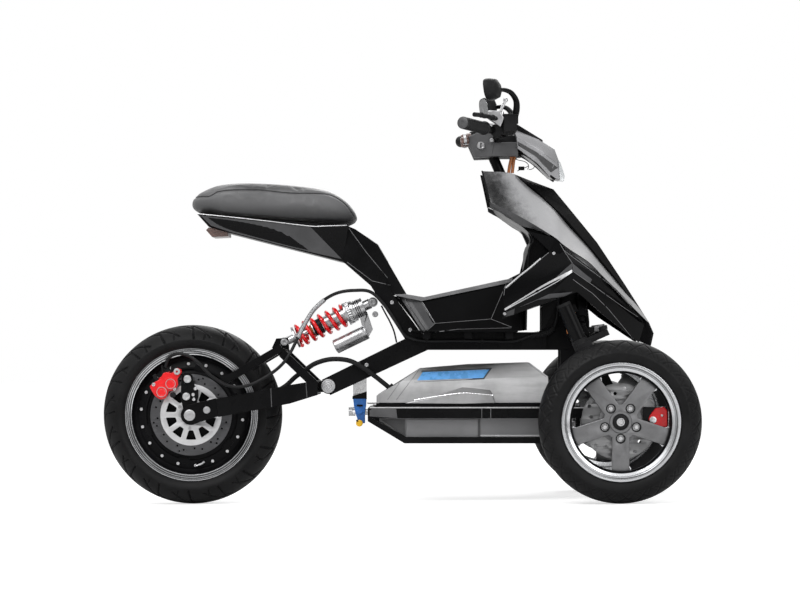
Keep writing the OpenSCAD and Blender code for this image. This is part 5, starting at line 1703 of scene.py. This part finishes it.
shell = mirror_rings([(42, 26, -11), (44, 28, -14), (45, 29, -10), (43, 28, 0), (36, 24, 13),
                      (20, 12, 20)])
piece("mirror_shells", shell.both(), "steering", "plastic", SATIN_PLASTIC, replaces=["mirrors"])
pane = mirror_rings([(41, 25, -14.6), (41, 25, -11)])
piece("mirror_glass", pane.both(), "steering", "alloy", MIRROR_GLASS, bevel=0.4)
arm_path = smooth_path([(206, -204, 596), (213, -210, 620), (212, -222, 644), (199, -246, 662),
                        (182, -268, 668), (166, -288, 667)], 6)
arm = tube(arm_path, np.linspace(10, 5, len(arm_path)), 14)
ball = lathe([(POLE, -8), (6, -6), (8, 0), (6, 6), (POLE, 8)], 20).moved((166, -288, 667))
foot = block((196, -216, 584), (218, -192, 612))
piece("mirror_arms", (arm + ball + foot).both(), "steering", "panel_black", GLOSS_BLACK, bevel=0.8)
print("mirrors", MIRROR_AT)

# %% [markdown]
# Grips are ribbed round their length and end in grey caps. Inboard of them sit silver clamps with
# the lever blades, black reservoirs, the switch housing with its key, and two copper pipes.

# %% Grips
grip_points = to_body(vertex_values(frame["nodes"]["grips"].data))
right = grip_points[grip_points[:, 1] < 0]
middle = right.mean(0)
heading = np.linalg.eigh(np.cov((right - middle).T))[1][:, 2]
heading = heading * (-1 if heading[1] > 0 else 1)
reach = (right - middle) @ heading
grip_end, grip_root = middle + heading * reach.max(), middle + heading * reach.min()
GRIP_LENGTH = float(np.linalg.norm(grip_end - grip_root))
RIB_STEP = 6.0
profile = [(11.4, 0), (17.5, 0), (18.5, 2), (18.5, 5), (15.6, 8)]
for at in np.arange(12.0, GRIP_LENGTH - 14, RIB_STEP):
    profile += [(15.4, at), (16.3, at + 1.2), (16.3, at + 3.0), (15.4, at + 4.2)]
profile += [(15.4, GRIP_LENGTH - 8), (16.4, GRIP_LENGTH - 5), (16.2, GRIP_LENGTH),
            (11.4, GRIP_LENGTH)]
sleeve = lathe(profile, 40).moved(grip_root, standing(heading))
piece("grip_sleeves", sleeve.both(), "steering", "rubber", HOSE_RUBBER, replaces=["grips"])
end_cap = spindle([(11, -3), (15.6, 0), (15.6, 2), (13, 3.5), (5, 3.0), (3.5, 1.6)], 40)
piece("grip_caps", end_cap.moved(grip_end, standing(heading)).both(), "steering", "plastic", DARK_GREY)
print("grip length", round(GRIP_LENGTH, 1))

# %% Clamps, switches, lamps and pipes
clamp = slab([(137, 618), (170, 616), (180, 598), (171, 574), (156, 584), (137, 596)], -232, -206)
blade = tube(smooth_path([(163, -214, 600), (173, -216, 622), (184, -219, 645)], 5), 4.0, 12)
tip = lathe([(POLE, -6), (5, -5), (6.5, 0), (5, 5), (POLE, 6)], 20).moved((184, -219, 646))
piece("bar_clamps", clamp.both(), "steering", "alloy", SHOCK_METAL, bevel=3.0)
piece("bar_stems", (blade + tip).both(), "steering", "steel", BRIGHT_STEEL)
reservoir = block((179, -226, 563), (214, -180, 607)) + block((177, -228, 605), (216, -178, 609))
piece("brake_reservoirs", reservoir.both(), "steering", "plastic", SATIN_PLASTIC, bevel=1.8)
SWITCH_SIDE = [(88, 560), (112, 571), (150, 573), (160, 556), (150, 506), (104, 504), (88, 540)]
switches = hulled([(x, y, z) for y in (-68, -30) for x, z in SWITCH_SIDE])
beam = block((140, -66, 507), (222, -34, 545))
piece("switch_housing", (switches + beam).both(), "steering", "plastic", DARK_GREY,
      replaces=["switch_box"], bevel=2.0)
piece("switch_bridge", block((120, -32, 508), (232, 32, 566)), "steering", "plastic", SATIN_PLASTIC,
      bevel=2.0)
key = spindle([(10.5, 0), (10.5, 8), (9, 10), (7.2, 10), (6.6, 8.4)], 36)
piece("key_switch", on_side(key, 121, 535, -68), "steering", "steel", BRIGHT_STEEL)
piece("key_slot", block((119.5, -77.2, 529), (122.5, -76, 541)), "steering", "plastic", SATIN_PLASTIC)
mode_knob = spindle([(5, 0), (6, 2), (6, 9), (4.5, 11)], 28)
piece("mode_knob", on_side(mode_knob, 150, 549, -68), "steering", "steel", STEEL)
LAMP_AT, LAMP_TURN = (76, -66, 553), standing((-1, 0, -0.15))
lamp = lathe([(POLE, -12), (11, -12), (14, -8), (14.5, 2), (12, 8), (POLE, 9)], 36)
piece("round_lamps", lamp.moved(LAMP_AT, LAMP_TURN).both(), "steering", "smoke", SMOKED_LENS)
piece("lamp_bezels", collar(13.6, 15.6, -6, 1, 36).moved(LAMP_AT, LAMP_TURN).both(), "steering",
      "steel", STEEL)
pipes = [[(207, -30, 519), (204, -31, 502), (200, -30, 484), (197, -29, 464)],
         [(214, -26, 512), (211, -27, 498), (209, -26, 482), (207, -25, 464)]]
piece("copper_pipes", total([tube(smooth_path(p, 5), 4.4, 14) for p in pipes]), "steering", "steel",
      COPPER_PIPE)
ends = rod((207, -30, 518), (210, -30, 540), 3.8) + rod((214, -26, 511), (220, -26, 538), 3.8)
piece("pipe_ends", ends, "steering", "steel", STEEL)
loops = [[(216, -20, 502), (226, -22, 499), (240, -18, 496), (249, -16, 490), (252, -15, 482),
          (249, -12, 475)],
         [(268, -24, 484), (265, -20, 478), (259, -16, 475), (252, -14, 474)],
         [(221, -18, 470), (230, -20, 474), (242, -20, 479), (252, -18, 484)]]
piece("thin_wires", total([tube(smooth_path(p, 8), 1.0, 8) for p in loops]), "steering", "rubber",
      HOSE_RUBBER)
piece("wire_plug", block((224, -26, 472), (240, -16, 482)), "steering", "plastic", SATIN_PLASTIC,
      bevel=1.0)
print("handlebar dressed")

# %% [markdown]
# The headlamp cowl has a darker upper facet, a black trim under it and a thin black visor above.

# %% Cowl trim
cowl_skin = cover_of("head_cowl")
upper_facet = strip([(214, 556), (275, 522), (335, 478), (345, 440)],
                    [(224, 540), (270, 512), (315, 465), (338, 415)], cowl_skin)
piece("cowl_upper_facets", upper_facet.both(), "steering", "panel_grey", DARK_GREY, angle=50)
trim = tube(smooth_path([(214, -56, 521), (240, -60, 512), (268, -60, 493), (300, -54, 463),
                         (322, -44, 446)], 6), 3.4, 10)
piece("cowl_lower_trim", trim.both(), "steering", "panel_black", GLOSS_BLACK)
VISOR_SIDE = [(216, 60, 596), (216, 60, 578), (287, 52, 553), (290, 52, 549)]
visor = hulled([(x, side * y, z) for side in (-1, 1) for x, y, z in VISOR_SIDE])
piece("visor", visor, "steering", "panel_black", GLOSS_BLACK, bevel=1.2)
print("cowl trimmed")

# %% [markdown]
# ## Front fittings and calipers
# Behind the aprons, two copper pipes drop to a row of fittings over each tyre. The nose is closed
# below the hood.

# %% Front fittings
drops = [[(359, -120, 88), (356, -121, 60), (352, -122, 38), (356, -124, 24)],
         [(376, -118, 90), (371, -120, 62), (373, -121, 40), (369, -124, 26)]]
piece("front_copper_pipes", total([tube(smooth_path(p, 5), 3.0, 12) for p in drops]).both(), "chassis",
      "steel", COPPER_PIPE)
round_cover = spindle([(11, 0), (11, 4), (8, 6)], 36)
piece("front_round_covers", on_side(round_cover, 388, 42, -124).both(), "chassis", "steel",
      BRIGHT_STEEL)
ROSE = clouded("rose_plastic", (0.4, 0.02, 0.09), 0.35, 0.45, 30.0, 400.0, 0.03).material
lever = hulled([(x, y, z) for y in (-126, -122)
                for x, z in ((361, 28), (364, 20), (384, 30), (383, 27))])
piece("front_small_levers", lever.both(), "chassis", "red", ROSE)
fittings = block((424, -128, 34), (437, -116, 48)) + block((446, -128, 36), (459, -116, 51)) \
    + block((372, -128, 6), (386, -118, 14)) + rod((430, -122, 47), (452, -122, 50), 4)
piece("front_fittings", fittings.both(), "chassis", "steel", STEEL, bevel=1.2)
dark_blocks = block((408, -127, 30), (424, -115, 44)) + block((436, -127, 26), (452, -115, 38))
piece("front_dark_blocks", dark_blocks.both(), "chassis", "plastic", SATIN_PLASTIC, bevel=1.2)
nose = slab([(548, 66), (574, 61), (586, 31), (580, -2), (535, 14), (525, 40)], -40, 40)
piece("nose_closing", nose, "chassis", "panel_black", GLOSS_BLACK, bevel=1.5)
print("front fittings placed")

# %% [markdown]
# Each front caliper has a red outer face with one silver piston, a pin and a bright rod along its
# rear edge. It rides on the knuckle, so it steers with the wheel and doesn't spin.

# %% Front calipers
FACE = [(552, -196), (556, -186), (571, -166), (594, -163), (603, -173), (603, -217), (570, -217)]
face_plate = slab(FACE, -347, -333)
front_piston = on_side(spindle([(9, 0), (9, 1.2), (7, 1.8)], 32), 565, -198, -347)
pins = on_side(socket_cap(3.4, 3, 1.8), 588, -186, -347) \
    + rod((606, -344, -172), (606, -344, -218), 1.4)
for side in SIDES:
    piece(f"front_caliper_face_{side}", face_plate.on(side), f"knuckle_{side}", "red", RED_COAT,
          bevel=3.0)
    piece(f"front_caliper_trim_{side}", (front_piston + pins).on(side), f"knuckle_{side}", "steel",
          BRIGHT_STEEL, bevel=0.3)

# %% [markdown]
# ## The CAD pieces that keep their shape
# The frame, covers, arms and bolts have the right shape already. Each gets a copy with broken edges
# and its own finish, and the copy stands for the node.

# %% Finishes for the kept shapes
KEPT = [
    ("frame", FRAME_PAINT, 1.6, "frame_spine seat_mast head_tube front_crossmember swingarm "
     "battery_cradle steering_column lower_arms upper_arms handlebar uprights front_shocks"),
    ("panel_black", GLOSS_BLACK, 1.5, "seat_base apron_right apron_left"),
    ("steel", STEEL, 1.0, "cradle_hanger"),
    ("bare_alloy", COVER_METAL, 2.5, "battery_cover"),
    ("case_grey", CASE_GREY, 1.6, "battery_case"),
    ("plastic", SATIN_PLASTIC, 1.2, "cable_gland front_caliper_right front_caliper_left "
     "knuckle_right knuckle_left tie_rod"),
    ("smoke", SMOKED_LENS, 1.0, "tail_lamp indicators"),
    ("clear", CLEAR_LENS, 1.0, "headlamp_lens"),
    ("alloy", SHOCK_METAL, 1.0, "shock_body shock_reservoir"),
    ("panel_black", HOOD_BLACK, 1.5, "fairing_hood tunnel_cover footboards"),
    ("panel_grey", COWL_GREY, 2.0, "head_cowl"),
    ("plastic", SATIN_PLASTIC, 1.0, "brake_levers")]
for slot, finish, bevel, nodes in KEPT:
    for node in nodes.split():
        refined(node, finish, bevel)
print("kept shapes", sum(len(nodes.split()) for *_, nodes in KEPT))
